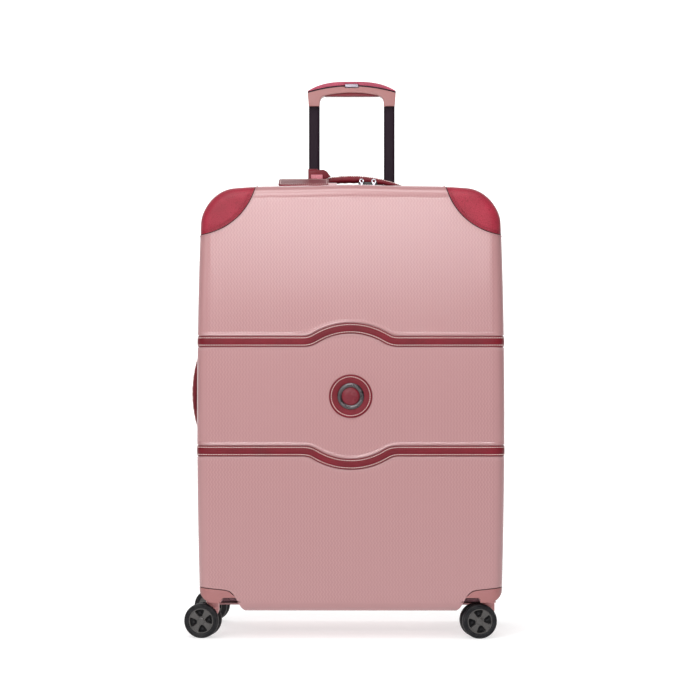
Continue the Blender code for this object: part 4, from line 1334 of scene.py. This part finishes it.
webbing = elastic_webbing()
for name, rise, y in (("a", 1, 0.0140), ("b", -1, 0.0160)):
    rings = []
    for i in range(25):
        t = i / 24
        x = -strap_reach + 2 * strap_reach * t
        z = (strap_low_z + (strap_high_z - strap_low_z) * t) if rise > 0 else (
            strap_high_z - (strap_high_z - strap_low_z) * t)
        gather = 1 - 0.12 * (1 - ease(min(t, 1 - t), 0.0, 0.06))
        half = webbing_half * gather
        rings.append([(x, y, z - half), (x, y + 0.0002, z - half + 0.0008),
                      (x, y + 0.0002, z + half - 0.0008), (x, y, z + half), (x, y + 0.0011, z + half),
                      (x, y + 0.0013, z + half - 0.0008), (x, y + 0.0013, z - half + 0.0008),
                      (x, y + 0.0011, z - half)])
    strap = loft(f"elastic_strap_{name}", rings)
    dress(strap, webbing, "lining", "case", f"packing_strap_{name}")
cross = (0.0, (strap_low_z + strap_high_z) / 2)
buckle = extrude("strap_buckle_body", rounded(0.052, 0.032, 0.006, cross, 8), 0.0080, 0.0136)
cut(buckle, extrude("window", rounded(0.020, 0.018, 0.004, (cross[0] - 0.010, cross[1])), 0.0, 0.0100))
for way in (-1, 1):
    notch = rounded(0.016, 0.008, 0.003, (cross[0] + 0.008, cross[1] + way * 0.0165))
    cut(buckle, extrude("notch", notch, 0.0, 0.02))
soften(buckle, 0.0009, 3)
dress(buckle, black_plastic, "black_plastic", "case")
tongue = extrude("strap_buckle_tongue", rounded(0.018, 0.024, 0.003, (cross[0] + 0.028, cross[1])), 0.0090,
                 0.0130)
soften(tongue, 0.0007, 3)
dress(tongue, black_plastic, "black_plastic", "case")

# ---- Studio ----
# A plain pale floor that curves up behind the case, lit by large soft lamps; a low strip gives the panels
# their sheen. The camera stands level in front, four metres away, at a little over half the case's height.


def studio_floor():
    material, tree, shader = new_finish("studio_paper", (0.50, 0.50, 0.50, 1), 0.85)
    grain = mottle(tree, wire(tree, "TexCoord").outputs["Object"], 3.0)
    paint(tree, shader, tint(tree, grain, (0.49, 0.49, 0.49, 1), (0.51, 0.51, 0.51, 1)))
    shader.inputs["Emission Color"].default_value = (1, 1, 1, 1)
    shader.inputs["Emission Strength"].default_value = 0.62
    sweep = [(-8.0, 0.0)] + [(3.2 + 2.0 * math.sin(t), 2.0 - 2.0 * math.cos(t))
                             for t in [math.radians(6 * i) for i in range(16)]] + [(5.2, 8.0)]
    points = [(x, y, z) for x in (-9.0, 9.0) for y, z in sweep]
    count = len(sweep)
    faces = [(i, i + 1, count + i + 1, count + i) for i in range(count - 1)]
    floor = add_mesh("studio_floor", points, faces)
    floor.data.materials.append(material)


def lamp(name, place, aim, size, power):
    data = bpy.data.lights.new(name, "AREA")
    data.shape, data.size, data.size_y, data.energy = "RECTANGLE", *size, power
    light = bpy.data.objects.new(name, data)
    light.location = place
    light.rotation_euler = (Vector(aim) - Vector(place)).to_track_quat("-Z", "Y").to_euler()
    light.visible_camera = False
    bpy.context.scene.collection.objects.link(light)


studio_floor()
lamp("key_softbox", (-1.0, -3.6, 3.0), (0.0, 0.0, 0.45), (2.0, 1.4), 64)
lamp("sheen_strip", (-0.1, -2.4, 0.94), (0.0, 0.0, 0.70), (1.7, 0.08), 15)
lamp("side_softbox", (-2.6, -2.4, 1.6), (0, 0, 0.4), (1.4, 2.0), 16)
lamp("fill_softbox", (2.6, -3.2, 1.4), (0, 0, 0.4), (1.6, 2.2), 2)
lamp("top_softbox", (0.0, -0.8, 1.95), (0, -0.15, 0.7), (1.6, 0.7), 15)
lamp("back_light", (0.0, 2.0, 3.6), (0, 4.8, 1.3), (5.0, 1.5), 230)
world = bpy.data.worlds.new("studio_air")
bpy.context.scene.world = world
world.use_nodes = True
world.node_tree.nodes["Background"].inputs["Color"].default_value = (0.93, 0.94, 0.96, 1)
seen = wire(world.node_tree, "LightPath").outputs["Is Camera Ray"]
strength = wire(world.node_tree, "MapRange", {0: seen, 3: 0.15, 4: 0.95}).outputs[0]
world.node_tree.links.new(strength, world.node_tree.nodes["Background"].inputs["Strength"])

camera_data = bpy.data.cameras.new("camera")
camera_data.lens, camera_data.sensor_width = 125.8, 36.0
camera = bpy.data.objects.new("camera", camera_data)
camera.location = (middle_x + 0.029, -4.155, 0.474)
camera.rotation_euler = (math.radians(90), 0, math.atan(0.0301 / 4.0))
bpy.context.scene.collection.objects.link(camera)
bpy.context.scene.camera = camera
bpy.context.scene.view_settings.view_transform = "Standard"
